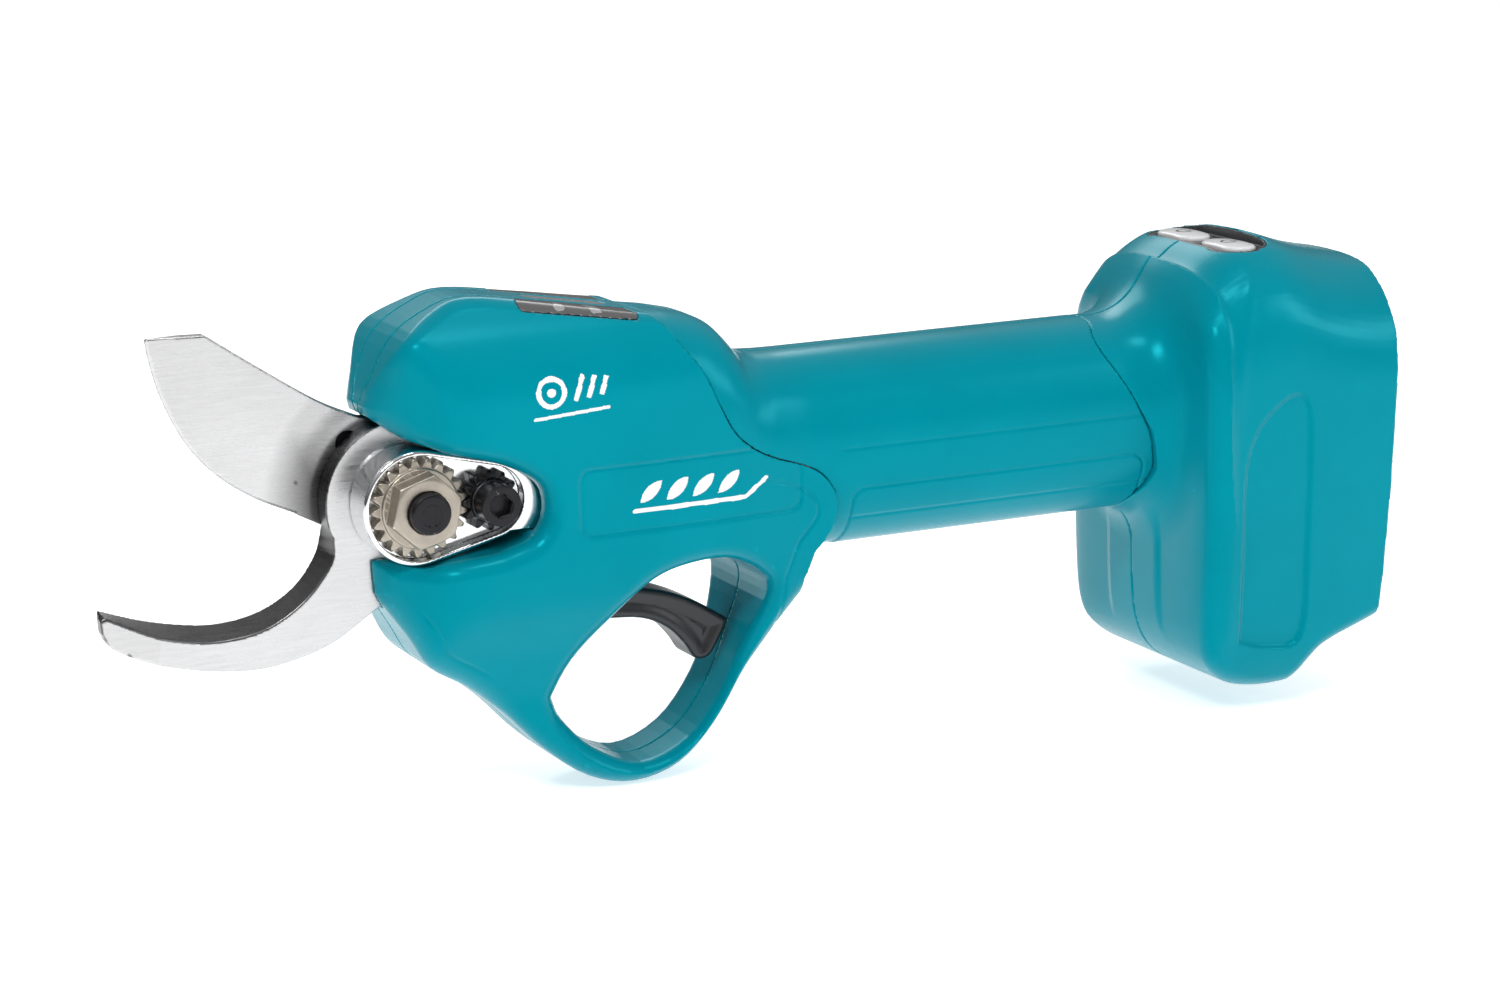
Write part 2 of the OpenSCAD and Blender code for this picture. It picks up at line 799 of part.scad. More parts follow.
module motor_shaft() {
    color(bright) {
        bar_x(2, gear_x0 + 0.4, gear_x1 + 2, 32);
        bar_x(2.5, gear_x1 + 1, 20, 32);
    }
}

flange_x = -31.2;

module motor_flange() {
    color(bright) difference() {
        union() {
            ring_x(18.1, 5, flange_x, flange_x + 3);
            ring_x(9.6, 5, flange_x + 2.9, flange_x + 8);
        }
        bar_x(8.02, flange_x + 2.5, flange_x + 9);
        bar_x(5, flange_x - 1, flange_x + 4);
    }
}

// A ball bearing round the motor shaft
module shaft_bearing(x0, r_out) {
    ring_x(r_out, r_out - 1.6, x0, x0 + 5);
    ring_x(4.1, 2.52, x0, x0 + 5);
    for (a = [0 : 60 : 300])
        translate([x0 + 2.5, (r_out + 2.5) / 2 * cos(a), axis_z + (r_out + 2.5) / 2 * sin(a)])
            sphere((r_out - 5.7) / 2 + 0.15, $fn = 20);
}

module motor_front_bearing() {
    color(steel) shaft_bearing(flange_x + 2.6, 8);
}

module motor_rear_bearing() {
    color(steel) shaft_bearing(14.6, 8);
}

module motor_fan() {
    color(dark) {
        ring_x(5.2, 2.5, -21.4, -18.2);
        difference() {
            ring_x(14.5, 5, -19.4, -18.2);
        }
        for (a = [0 : 30 : 330])
            translate([-21.4, 0, axis_z]) rotate([a, 0, 0]) translate([0, -0.5, 5]) cube([2.5, 1, 9.2]);
    }
}

rotor_x0 = -17;
rotor_x1 = 10;

module rotor_core() {
    color(steel) difference() {
        bar_x(8.4, rotor_x0, rotor_x1);
        bar_x(2.5, rotor_x0 - 1, rotor_x1 + 1, 32);
        for (i = [0 : 3]) magnet_slot(i, 0);
    }
}

module magnet_slot(i, shrink) {
    translate([rotor_x0 - 1 + shrink, 0, axis_z]) rotate([90 * i, 0, 0])
        translate([0, -4 + shrink, 4.9]) cube([rotor_x1 - rotor_x0 + 2 - 2 * shrink, 8 - 2 * shrink, 1.6]);
}

module rotor_magnets() {
    color(dark) for (i = [0 : 3]) magnet_slot(i, 1);
}

module stator_core() {
    color([0.35, 0.36, 0.38]) difference() {
        bar_x(17, rotor_x0 + 2, rotor_x1 - 2);
        bar_x(8.9, rotor_x0, rotor_x1);
        for (i = [0 : 5]) translate([0, 0, axis_z]) rotate([60 * i, 0, 0]) translate([0, 0, -axis_z])
            along(rotor_x0, rotor_x1) polygon([[-1, 89.2], [1, 89.2], [5.4, 91.4], [0, 92.4], [-5.4, 91.4]]);
    }
}

module stator_windings() {
    color(copper) for (x = [rotor_x0 - 0.2, rotor_x1 - 2]) ring_x(15.4, 9.6, x, x + 2.2);
}

module sensor_board() {
    color(board) ring_x(15.6, 5, 11, 12.4);
}

module motor_end_cap() {
    color(dark) difference() {
        union() {
            ring_x(16.6, 5, 12.8, 14.6);
            ring_x(9.8, 8.02, 14.5, 20.4);
        }
    }
}

// ---------- controls ----------

trigger_top = smooth([[-47, 52.6], [-36, 49], [-26, 46.4], [-17.6, 42.6], [-9.4, 37.4]], 4);
trigger_under = smooth([[-10.6, 34.6], [-14.6, 28.6], [-18.6, 28.4], [-21.4, 32.2], [-26, 37], [-33, 40.4],
    [-44, 41.6]], 4);

module trigger() {
    color(dark) difference() {
        union() {
            across(-trigger_w / 2, trigger_w / 2)
                polygon(concat(trigger_top, trigger_under, [[-53, 43]], [[-53, 52]]));
            bar_y(4.6, -trigger_w / 2, trigger_w / 2, pin_x, pin_z);
            across(-trigger_w / 2, trigger_w / 2) polygon([[-66, 44.4], [-52, 44.4], [-52, 51], [-66, 49]]);
        }
        bar_y(2.05, -20, 20, pin_x, pin_z);
        translate([-63, -2.55, 46.9]) cube([3, 5.1, 4]);
    }
}

module trigger_pin() {
    color(steel) bar_y(2, -17.4, 17.4, pin_x, pin_z);
}

spring_z1 = 44.3;

module trigger_spring() {
    turns = 5;
    color(steel) tube([for (i = [0 : 60]) let (a = 360 * turns * i / 60)
        [spring_x + 3 * cos(a), 3 * sin(a), spring_z0 + 0.4 + (spring_z1 - spring_z0 - 0.8) * i / 60]], 0.4);
}

module trigger_magnet() {
    color(dark) translate([-63, -2.5, 46.95]) cube([2.9, 5, 2]);
}

module trigger_board() {
    color(board) translate([-72, -8, 52.5]) cube([16, 16, 1.4]);
}

module indicator_lens() {
    color([0.55, 0.56, 0.58]) intersection() {
        lens_window(0);
        head_limits(0);
        translate([0, 0, 1.1]) head_limits(0);
        across(-40, 40) polygon(concat([[-70, 110]], [for (p = head_top) if (p[0] > -75 && p[0] < -20) p],
            [[-22, 100]]));
        translate([-100, -60, 112]) cube([100, 120, 30]);
    }
}

module top_lens() {
    color([0.62, 0.63, 0.65]) intersection() {
        translate([-48, 0, 110]) linear_extrude(20) pill(26, 7);
        difference() {
            head_block();
            translate([0, 0, -2.6]) head_block();
        }
    }
}

module indicator_board() {
    color(board) translate([-62, -12, 113.2]) cube([28, 24, 1.4]);
}

module controller_tray() {
    color([0.3, 0.31, 0.33]) difference() {
        translate([116.5, -29, 30]) cube([18, 58, 68]);
        translate([119, -27, 32]) cube([18, 54, 64]);
    }
}

module controller_board() {
    color(board) {
        translate([120, -26.5, 32.5]) cube([1.6, 53, 63]);
        for (y = [-18, -6, 6]) translate([121.5, y, 44]) cube([5, 9, 12]);
        for (y = [-15, 15]) translate([121.5, y, 80]) rotate([0, 90, 0]) cylinder(r = 5, h = 9, $fn = 48);
    }
}

module motor_leads() {
    color([0.7, 0.12, 0.1]) for (s = [-1, 0, 1])
        tube(smooth([[20.8, 6 * s, axis_z + 13], [34, 6 * s, axis_z + 12], [64, 5 * s, axis_z + 9],
            [96, 6 * s, axis_z + 8], [116.4, 7 * s, axis_z + 8]], 5), 1.2);
}

module battery_leads() {
    color([0.1, 0.1, 0.1]) for (s = [-1, 1])
        tube(smooth([[134.8, 10 * s, 62], [140, 12 * s, 62], [146, 13 * s, 66], [152.2, 13 * s, 70]], 5), 1.4);
}

block_x0 = 153;

module terminal_block() {
    color(dark) difference() {
        union() {
            translate([block_x0, -21, 42]) cube([12, 42, 40]);
        }
        for (y = [-13, 13]) translate([block_x0 + 4, y - 1.1, 41]) cube([20, 2.2, 30]);
    }
}

module terminal_contacts() {
    color(copper) for (y = [-13, 13]) translate([block_x0 + 4.5, y - 0.5, 44]) cube([6.8, 1, 24]);
}

module button_panel() {
    color([0.5, 0.51, 0.53]) difference() {
        panel_slot(-0.15, panel_z, panel_z + 2.4);
        for (s = [-1, 1]) button_shape(s, 0.25, panel_z - 1, 130);
    }
}

module button_shape(s, grow, z0, z1) {
    translate([panel_x, s * button_gap / 2, z0]) rotate([0, 0, 90]) linear_extrude(z1 - z0)
        pill(18 + 2 * grow, 9.4 + 2 * grow);
}

module button_board() {
    color(board) translate([panel_x - 7, -21, panel_z - 5.2]) cube([14, 42, 1.4]);
}

module button(s) {
    color([0.93, 0.93, 0.93]) button_shape(s, 0, panel_z + 1.1, panel_z + 3.4);
}

module mode_button() {
    button(1);
}

module power_button() {
    button(-1);
}

// Screws of the housing, driven from the right side: [x, z, y of the head's outer face]
head_screws = [[-67, 110, 20], [-80, 44, 15.5], [-36.5, 104.5, 22], [-67.5, 27, 10.5], [0.8, 46.5, 16.5]];
handle_screws = [[30, 64, 15.5], [82, 64, 15.5], [30, 96.5, 14.4], [82, 96.5, 14.4]];
foot_screws = [[126, 24, 34.5], [126, 105, 30.5], [147, 30, 34.5], [147, 103, 30.5]];
screw_r = 1.5;
screw_head_r = 2.8;
screw_head = 2;
screw_depth = 9;

// Bosses round the screws, wide enough for their heads
module screw_bosses(screws) {
    for (p = screws) bar_y(3.9, -60, 60, p[0], p[1], 32);
}

// Room for the screws, with a counterbore above each head
module screw_holes(screws) {
    for (p = screws) {
        bar_y(screw_r + 0.04, -screw_depth - 0.2, 40, p[0], p[1], 32);
        bar_y(screw_head_r + 0.15, p[2] - screw_head, 60, p[0], p[1], 32);
    }
}

module housing_screws() {
    color(dark) for (p = concat(head_screws, handle_screws, foot_screws)) difference() {
        union() {
            bar_y(screw_r, -screw_depth, p[2] - screw_head, p[0], p[1], 32);
            bar_y(screw_head_r, p[2] - screw_head, p[2], p[0], p[1], 32);
        }
        bar_y(1.4, p[2] - 1.2, p[2] + 1, p[0], p[1], 6);
    }
}

head_left_cover();
head_right_cover();
head_band();
handle_left_shell();
handle_right_shell();
foot_left_shell();
foot_right_shell();
gear_case();
counter_blade();
counter_blade_pins();
pivot_bolt();
adjusting_nut();
lock_gear();
lock_bolt();
thrust_washer();
upper_blade();
blade_bush();
blade_sector_gear();
sector_pins();
bevel_pinion();
pinion_bearings();
planet_carrier();
planet_pins();
planet_gear(0);  // planet_gear_1
planet_gear(1);  // planet_gear_2
planet_gear(2);  // planet_gear_3
ring_gear();
sun_gear();
motor_flange();
motor_front_bearing();
motor_rear_bearing();
motor_shaft();
motor_fan();
rotor_core();
rotor_magnets();
stator_core();
stator_windings();
sensor_board();
motor_end_cap();
trigger();
trigger_pin();
trigger_spring();
trigger_magnet();
trigger_board();
indicator_lens();
top_lens();
indicator_board();
controller_board();
controller_tray();
motor_leads();
battery_leads();
terminal_block();
terminal_contacts();
button_panel();
button_board();
mode_button();
power_button();
housing_screws();
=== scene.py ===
import bpy
import json
import math
import numpy as np
from mathutils import Matrix, Vector


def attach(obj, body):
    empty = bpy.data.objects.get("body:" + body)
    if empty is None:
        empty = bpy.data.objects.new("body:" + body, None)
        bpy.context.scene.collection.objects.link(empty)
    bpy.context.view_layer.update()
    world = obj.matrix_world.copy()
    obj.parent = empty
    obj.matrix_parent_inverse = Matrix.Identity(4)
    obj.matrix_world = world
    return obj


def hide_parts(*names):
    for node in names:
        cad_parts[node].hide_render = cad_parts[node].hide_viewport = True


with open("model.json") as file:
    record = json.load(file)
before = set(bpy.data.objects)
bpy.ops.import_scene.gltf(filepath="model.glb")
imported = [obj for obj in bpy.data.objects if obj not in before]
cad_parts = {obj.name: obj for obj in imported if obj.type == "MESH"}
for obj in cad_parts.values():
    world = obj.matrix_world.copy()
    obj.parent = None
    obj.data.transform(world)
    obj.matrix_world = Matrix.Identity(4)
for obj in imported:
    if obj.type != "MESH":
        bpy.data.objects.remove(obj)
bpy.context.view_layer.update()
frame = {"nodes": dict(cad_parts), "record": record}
NODES = frame["nodes"]

# Shapes are worked out in millimetres in the CAD frame and stored in metres.
MM = 0.001
PIVOT_X, AXIS_Z = -94.0, 77.5
WALL = 2.6
SEAM = 0.16
COARSE = 1.0


# ---------------------------------------------------------------- distance fields

def spline(points, steps=4):
    """A smooth open curve through the points, as an array."""
    p = np.asarray(points, float)
    p = np.vstack([2 * p[0] - p[1], p, 2 * p[-1] - p[-2]])
    t = np.linspace(0, 1, steps, endpoint=False)[:, None]
    out = []
    for a, b, c, d in zip(p[:-3], p[1:-2], p[2:-1], p[3:]):
        out.append(0.5 * (2 * b + (c - a) * t + (2 * a - 5 * b + 4 * c - d) * t ** 2
                          + (3 * b - a - 3 * c + d) * t ** 3))
    return np.vstack(out + [p[-2:-1]])


def arc(centre, radius, start, end, count=24):
    """Points of an arc, angles in degrees."""
    a = np.radians(np.linspace(start, end, count + 1))
    return np.stack([centre[0] + radius * np.cos(a), centre[1] + radius * np.sin(a)], 1)


class Outline:
    """Signed distance to a closed outline, kept on a fine grid and read off it; negative inside."""

    def __init__(self, points, step=0.4, pad=9.0):
        p = np.asarray(points, float)
        self.lo, self.step = p.min(0) - pad, step
        n = np.ceil((p.max(0) + pad - self.lo) / step).astype(int) + 1
        u = self.lo[0] + step * np.arange(n[0])[:, None]
        v = self.lo[1] + step * np.arange(n[1])[None, :]
        best = np.full((n[0], n[1]), 1e9)
        inside = np.zeros((n[0], n[1]), bool)
        for a, b in zip(p, np.roll(p, -1, 0)):
            e = b - a
            size = e @ e
            if size < 1e-12:
                continue
            t = np.clip(((u - a[0]) * e[0] + (v - a[1]) * e[1]) / size, 0, 1)
            best = np.minimum(best, (u - a[0] - t * e[0]) ** 2 + (v - a[1] - t * e[1]) ** 2)
            if a[1] != b[1]:
                low = (v > min(a[1], b[1])) & (v <= max(a[1], b[1]))
                inside ^= low & (u < a[0] + (v - a[1]) * e[0] / e[1])
        self.field = np.where(inside, -1, 1) * np.sqrt(best)
        self.size = n

    def __call__(self, u, v):
        a = np.clip((u - self.lo[0]) / self.step, 0, self.size[0] - 1.001)
        b = np.clip((v - self.lo[1]) / self.step, 0, self.size[1] - 1.001)
        i, j = a.astype(int), b.astype(int)
        s, t = a - i, b - j
        f = self.field
        return ((f[i, j] * (1 - s) + f[i + 1, j] * s) * (1 - t)
                + (f[i, j + 1] * (1 - s) + f[i + 1, j + 1] * s) * t)


class Profile:
    """A smooth function of one number through given knots, rounded over a width."""

    def __init__(self, knots, blur=2.0):
        k = np.asarray(knots, float)
        self.x = np.arange(k[0, 0] - 10, k[-1, 0] + 10, 0.25)
        raw = np.interp(self.x, k[:, 0], k[:, 1])
        w = np.exp(-0.5 * (np.arange(-24, 25) * 0.25 / blur) ** 2)
        self.y = np.convolve(np.pad(raw, 24, mode="edge"), w / w.sum(), mode="valid")

    def __call__(self, x):
        return np.interp(x, self.x, self.y)


def round_max(a, b, r):
    """The common part of two fields with its edge rounded to radius r."""
    return np.minimum(np.maximum(a, b), -r) + np.hypot(np.maximum(a + r, 0), np.maximum(b + r, 0))


def soft_max(a, b, k):
    h = np.clip(0.5 + 0.5 * (a - b) / k, 0, 1)
    return b * (1 - h) + a * h + k * h * (1 - h)


def soft_min(a, b, k):
    return -soft_max(-a, -b, k)


def step(edge, x, width):
    """0 below the edge and 1 above it, smooth over the width."""
    t = np.clip((x - edge) / width + 0.5, 0, 1)
    return t * t * (3 - 2 * t)


def bump(d, width):
    """1 where d is 0, falling off smoothly."""
    return np.exp(-(d / width) ** 2)


def surface_net(field, lo, hi, h, settle=3):
    """Vertices, quads and normals of the surface where the field is zero."""
    lo, hi = np.asarray(lo, float), np.asarray(hi, float)
    h = np.broadcast_to(np.asarray(h, float) * COARSE, 3)
    n = np.ceil((hi - lo) / h).astype(int) + 1
    axes = [lo[i] + h[i] * np.arange(n[i]) for i in range(3)]
    v = field(axes[0][:, None, None], axes[1][None, :, None], axes[2][None, None, :])
    v = np.ascontiguousarray(np.broadcast_to(v, n)).astype(np.float32)
    v[v == 0] = 1e-6
    s = v < 0
    corners = [(i, j, k) for i in (0, 1) for j in (0, 1) for k in (0, 1)]
    cut = lambda c: tuple(slice(c[i], n[i] - 1 + c[i]) for i in range(3))
    count = sum(s[cut(c)].astype(np.int8) for c in corners)
    live = (count > 0) & (count < 8)
    index = np.full(live.shape, -1, np.int64)
    cells = np.argwhere(live)
    index[live] = np.arange(len(cells))
    total, hits = np.zeros((len(cells), 3)), np.zeros(len(cells))
    value = {c: v[tuple((cells + c).T)] for c in corners}
    for a in corners:
        for axis in range(3):
            if a[axis]:
                continue
            b = tuple(1 if i == axis else a[i] for i in range(3))
            cross = (value[a] < 0) != (value[b] < 0)
            t = np.where(cross, value[a] / (value[a] - value[b] + 1e-20), 0)
            point = np.tile(np.array(a, float), (len(cells), 1))
            point[:, axis] = t
            total[cross] += point[cross]
            hits += cross
    p = lo + h * (cells + total / hits[:, None])
    quads = []
    for axis in range(3):
        o1, o2 = [(1, 2), (2, 0), (0, 1)][axis]
        here = tuple(slice(0, n[i] - 1) if i == axis else slice(1, n[i] - 1) for i in range(3))
        there = tuple(slice(1, n[i]) if i == axis else slice(1, n[i] - 1) for i in range(3))
        flip = s[here]
        where = np.argwhere(flip != s[there])
        inside = flip[tuple(where.T)]
        base = where + [0 if i == axis else 1 for i in range(3)]
        ring = []
        for d1, d2 in ((1, 1), (0, 1), (0, 0), (1, 0)):
            c = base.copy()
            c[:, o1] -= d1
            c[:, o2] -= d2
            ring.append(index[tuple(c.T)])
        q = np.stack(ring, 1)
        q[~inside] = q[~inside][:, ::-1]
        quads.append(q)
    quads = np.vstack(quads)
    eps, g = 0.04, None
    for turn in range(settle + 1):
        g = np.stack([(field(*(p + eps * e).T) - field(*(p - eps * e).T)) / (2 * eps) for e in np.eye(3)], 1)
        size = np.maximum((g ** 2).sum(1), 0.05)
        if turn < settle:
            move = np.clip(field(*p.T) / size, -0.4 * h.min(), 0.4 * h.min())
            p = p - move[:, None] * g
    g = g / np.sqrt(size)[:, None]
    a, b, c, d = (p[quads[:, i]] for i in range(4))
    face = np.cross(c - a, d - b)
    own = np.zeros_like(p)
    for i in range(4):
        for axis in range(3):
            own[:, axis] += np.bincount(quads[:, i], face[:, axis], len(p))
    own /= np.linalg.norm(own, axis=1)[:, None] + 1e-12
    blend = np.clip(((own * g).sum(1)[:, None] - 0.7) / 0.25, 0, 1)
    g = own * (1 - blend) + g * blend
    return p, quads, g / (np.linalg.norm(g, axis=1)[:, None] + 1e-12)


def make_mesh(name, p, quads, normals):
    """An object from points in millimetres, quads and the normals of the points."""
    mesh = bpy.data.meshes.new(name)
    mesh.vertices.add(len(p))
    mesh.vertices.foreach_set("co", (np.asarray(p) * MM).ravel())
    mesh.loops.add(quads.size)
    mesh.loops.foreach_set("vertex_index", quads.ravel().astype(np.int32))
    mesh.polygons.add(len(quads))
    mesh.polygons.foreach_set("loop_start", np.arange(0, quads.size, 4, dtype=np.int32))
    mesh.polygons.foreach_set("loop_total", np.full(len(quads), 4, np.int32))
    mesh.polygons.foreach_set("use_smooth", np.ones(len(quads), bool))
    mesh.update(calc_edges=True)
    mesh.validate()
    mesh.normals_split_custom_set_from_vertices(normals.tolist())
    obj = bpy.data.objects.new(name, mesh)
    bpy.context.scene.collection.objects.link(obj)
    return obj


def sculpt(name, field, lo, hi, h, body, slot, nodes):
    """Meshes a field into a named piece that rides a body and stands for CAD nodes."""
    p, quads, normals = surface_net(field, lo, hi, h)
    obj = make_mesh(name, p, quads, normals)
    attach(obj, body)
    if nodes:
        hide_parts(*nodes)
    obj.data.materials.append(MATERIALS[slot])
    return obj


# ---------------------------------------------------------------- materials

def new_material(name):
    mat = bpy.data.materials.new(name)
    mat.use_nodes = True
    tree = mat.node_tree
    return mat, tree, tree.nodes["Principled BSDF"]


def coordinates(tree, scale=(1, 1, 1), turn=(0, 0, 0)):
    """Object coordinates, stretched and turned."""
    where = tree.nodes.new("ShaderNodeTexCoord")
    place = tree.nodes.new("ShaderNodeMapping")
    place.inputs["Scale"].default_value = scale
    place.inputs["Rotation"].default_value = turn
    tree.links.new(where.outputs["Object"], place.inputs["Vector"])
    return place.outputs["Vector"]


def noise(tree, vector, scale, detail=3.0, rough=0.55):
    n = tree.nodes.new("ShaderNodeTexNoise")
    n.inputs["Scale"].default_value = scale
    n.inputs["Detail"].default_value = detail
    n.inputs["Roughness"].default_value = rough
    tree.links.new(vector, n.inputs["Vector"])
    return n.outputs["Fac"]


def spread(tree, value, low, high, start=0.3, end=0.7):
    """Maps a noise value onto low..high."""
    m = tree.nodes.new("ShaderNodeMapRange")
    for key, number in (("From Min", start), ("From Max", end), ("To Min", low), ("To Max", high)):
        m.inputs[key].default_value = number
    tree.links.new(value, m.inputs["Value"])
    return m.outputs["Result"]


def mixed(tree, value, first, second, start=0.35, end=0.65):
    """A colour between two, by a noise value."""
    ramp = tree.nodes.new("ShaderNodeValToRGB")
    ramp.color_ramp.elements[0].position = start
    ramp.color_ramp.elements[1].position = end
    ramp.color_ramp.elements[0].color = (*first, 1)
    ramp.color_ramp.elements[1].color = (*second, 1)
    tree.links.new(value, ramp.inputs["Fac"])
    return ramp.outputs["Color"]


def bumped(tree, shader, value, strength, distance):
    b = tree.nodes.new("ShaderNodeBump")
    b.inputs["Strength"].default_value = strength
    b.inputs["Distance"].default_value = distance
    tree.links.new(value, b.inputs["Height"])
    tree.links.new(b.outputs["Normal"], shader.inputs["Normal"])


def wear_and_edge_shade(tree, colour, edge):
    """Changes a colour where the surface is convex: lighter on most parts, as handling wears them, and darker
    on the blade steel, as painted shade along its edges.
    """
    geo = tree.nodes.new("ShaderNodeNewGeometry")
    where = spread(tree, geo.outputs["Pointiness"], 0, 1, 0.53, 0.62)
    mix = tree.nodes.new("ShaderNodeMix")
    mix.data_type = "RGBA"
    mix.inputs["B"].default_value = (*edge, 1)
    tree.links.new(where, mix.inputs["Factor"])
    tree.links.new(colour, mix.inputs["A"])
    return mix.outputs["Result"]


def plastic(name, colour, rough, grain=1400, shade=0.93, coat=0.0, edge=None,
            gloss=0.5, tint=(1, 1, 1)):
    """Moulded plastic: faint colour drift, fine grain and uneven gloss."""
    mat, tree, shader = new_material(name)
    at = coordinates(tree)
    dark = tuple(c * shade for c in colour)
    paint = mixed(tree, noise(tree, at, 28, 4), dark, colour)
    if edge:
        paint = wear_and_edge_shade(tree, paint, edge)
    tree.links.new(paint, shader.inputs["Base Color"])
    fine = noise(tree, at, grain, 2)
    tree.links.new(spread(tree, noise(tree, at, 60, 5), rough * 0.9, rough * 1.12),
                   shader.inputs["Roughness"])
    shader.inputs["Specular IOR Level"].default_value = gloss
    shader.inputs["Specular Tint"].default_value = (*tint, 1)
    shader.inputs["Coat Weight"].default_value = coat
    shader.inputs["Coat Roughness"].default_value = 0.12
    bumped(tree, shader, fine, 0.25, 0.00002)
    return mat


def brushed(name, colour, rough, stretch, turn, shade=0.86, scale=90, strength=0.3, edge=None):
    """Ground metal: long fine scratches in one direction."""
    mat, tree, shader = new_material(name)
    streak = noise(tree, coordinates(tree, stretch, turn), scale, 6, 0.7)
    cloud = noise(tree, coordinates(tree), 35, 3)
    dark = tuple(c * shade for c in colour)
    paint = mixed(tree, streak, dark, colour, 0.3, 0.7)
    if edge:
        paint = wear_and_edge_shade(tree, paint, edge)
    tree.links.new(paint, shader.inputs["Base Color"])
    mix = tree.nodes.new("ShaderNodeMath")
    mix.operation = "ADD"
    tree.links.new(spread(tree, streak, -0.05, 0.07), mix.inputs[0])
    tree.links.new(spread(tree, cloud, rough * 0.9, rough * 1.1), mix.inputs[1])
    tree.links.new(mix.outputs["Value"], shader.inputs["Roughness"])
    shader.inputs["Metallic"].default_value = 1.0
    bumped(tree, shader, streak, strength, 0.00003)
    return mat


def cast_metal(name, colour, rough, grain=900, shade=0.8, strength=0.35, metal=1.0, edge=None):
    """Sintered, cast or blackened metal: fine pits and uneven gloss."""
    mat, tree, shader = new_material(name)
    at = coordinates(tree)
    pits = noise(tree, at, grain, 5, 0.65)
    paint = mixed(tree, noise(tree, at, 120, 5), tuple(c * shade for c in colour), colour)
    if edge:
        paint = wear_and_edge_shade(tree, paint, edge)
    tree.links.new(paint, shader.inputs["Base Color"])
    tree.links.new(spread(tree, pits, rough * 0.8, rough * 1.2), shader.inputs["Roughness"])
    shader.inputs["Metallic"].default_value = metal
    bumped(tree, shader, pits, strength, 0.00004)
    return mat


TEAL = (0.0, 0.245, 0.318)
STEEL = (0.66, 0.66, 0.665)
MATERIALS = {
    "teal_plastic": plastic("teal_plastic", TEAL, 0.24, edge=(0.0, 0.275, 0.345), gloss=0.36,
                            tint=(0.03, 0.88, 1.0)),
    "polished_aluminium": brushed("polished_aluminium", (0.80, 0.81, 0.82), 0.12, (1, 8, 1), (0, 0.3, 0),
                                  0.93, 140, 0.1),
    "blade_steel": brushed("blade_steel", STEEL, 0.3, (0.5, 4, 9), (0, 0.5, 0), 0.82, 160, 0.35),
    "bright_steel": brushed("bright_steel", (0.66, 0.67, 0.69), 0.28, (1, 1, 6), (0, 0, 0), 0.85, 200, 0.2),
    "bronze": cast_metal("bronze", (0.44, 0.395, 0.335), 0.36, 800, 0.82, 0.4, 0.85, (0.72, 0.66, 0.55)),
    "black_steel": cast_metal("black_steel", (0.022, 0.022, 0.025), 0.33, 700, 0.7, 0.2, 0.7,
                              (0.12, 0.12, 0.13)),
    "laminations": brushed("laminations", (0.32, 0.33, 0.35), 0.4, (9, 1, 1), (0, 0, 0), 0.8, 240, 0.3),
    "copper": brushed("copper", (0.80, 0.42, 0.22), 0.3, (1, 6, 6), (0, 0, 0), 0.8, 180, 0.4),
    "black_plastic": plastic("black_plastic", (0.018, 0.018, 0.02), 0.34, 1100, 0.8,
                             edge=(0.05, 0.05, 0.055)),
    "circuit_board": plastic("circuit_board", (0.02, 0.16, 0.06), 0.3, 600, 0.8),
    "grey_plastic": plastic("grey_plastic", (0.13, 0.135, 0.14), 0.42, 1200, 0.85, edge=(0.2, 0.2, 0.21)),
    "smoked_lens": plastic("smoked_lens", (0.095, 0.094, 0.096), 0.25, 800, 0.85, coat=0.3),
    "white_plastic": plastic("white_plastic", (0.80, 0.81, 0.82), 0.28, 1200, 0.95, coat=0.3),
    "lead_insulation": plastic("lead_insulation", (0.30, 0.02, 0.015), 0.45, 900, 0.8),
}
DARK_PANEL = plastic("dark_panel", (0.05, 0.052, 0.056), 0.3, 1200, 0.85)


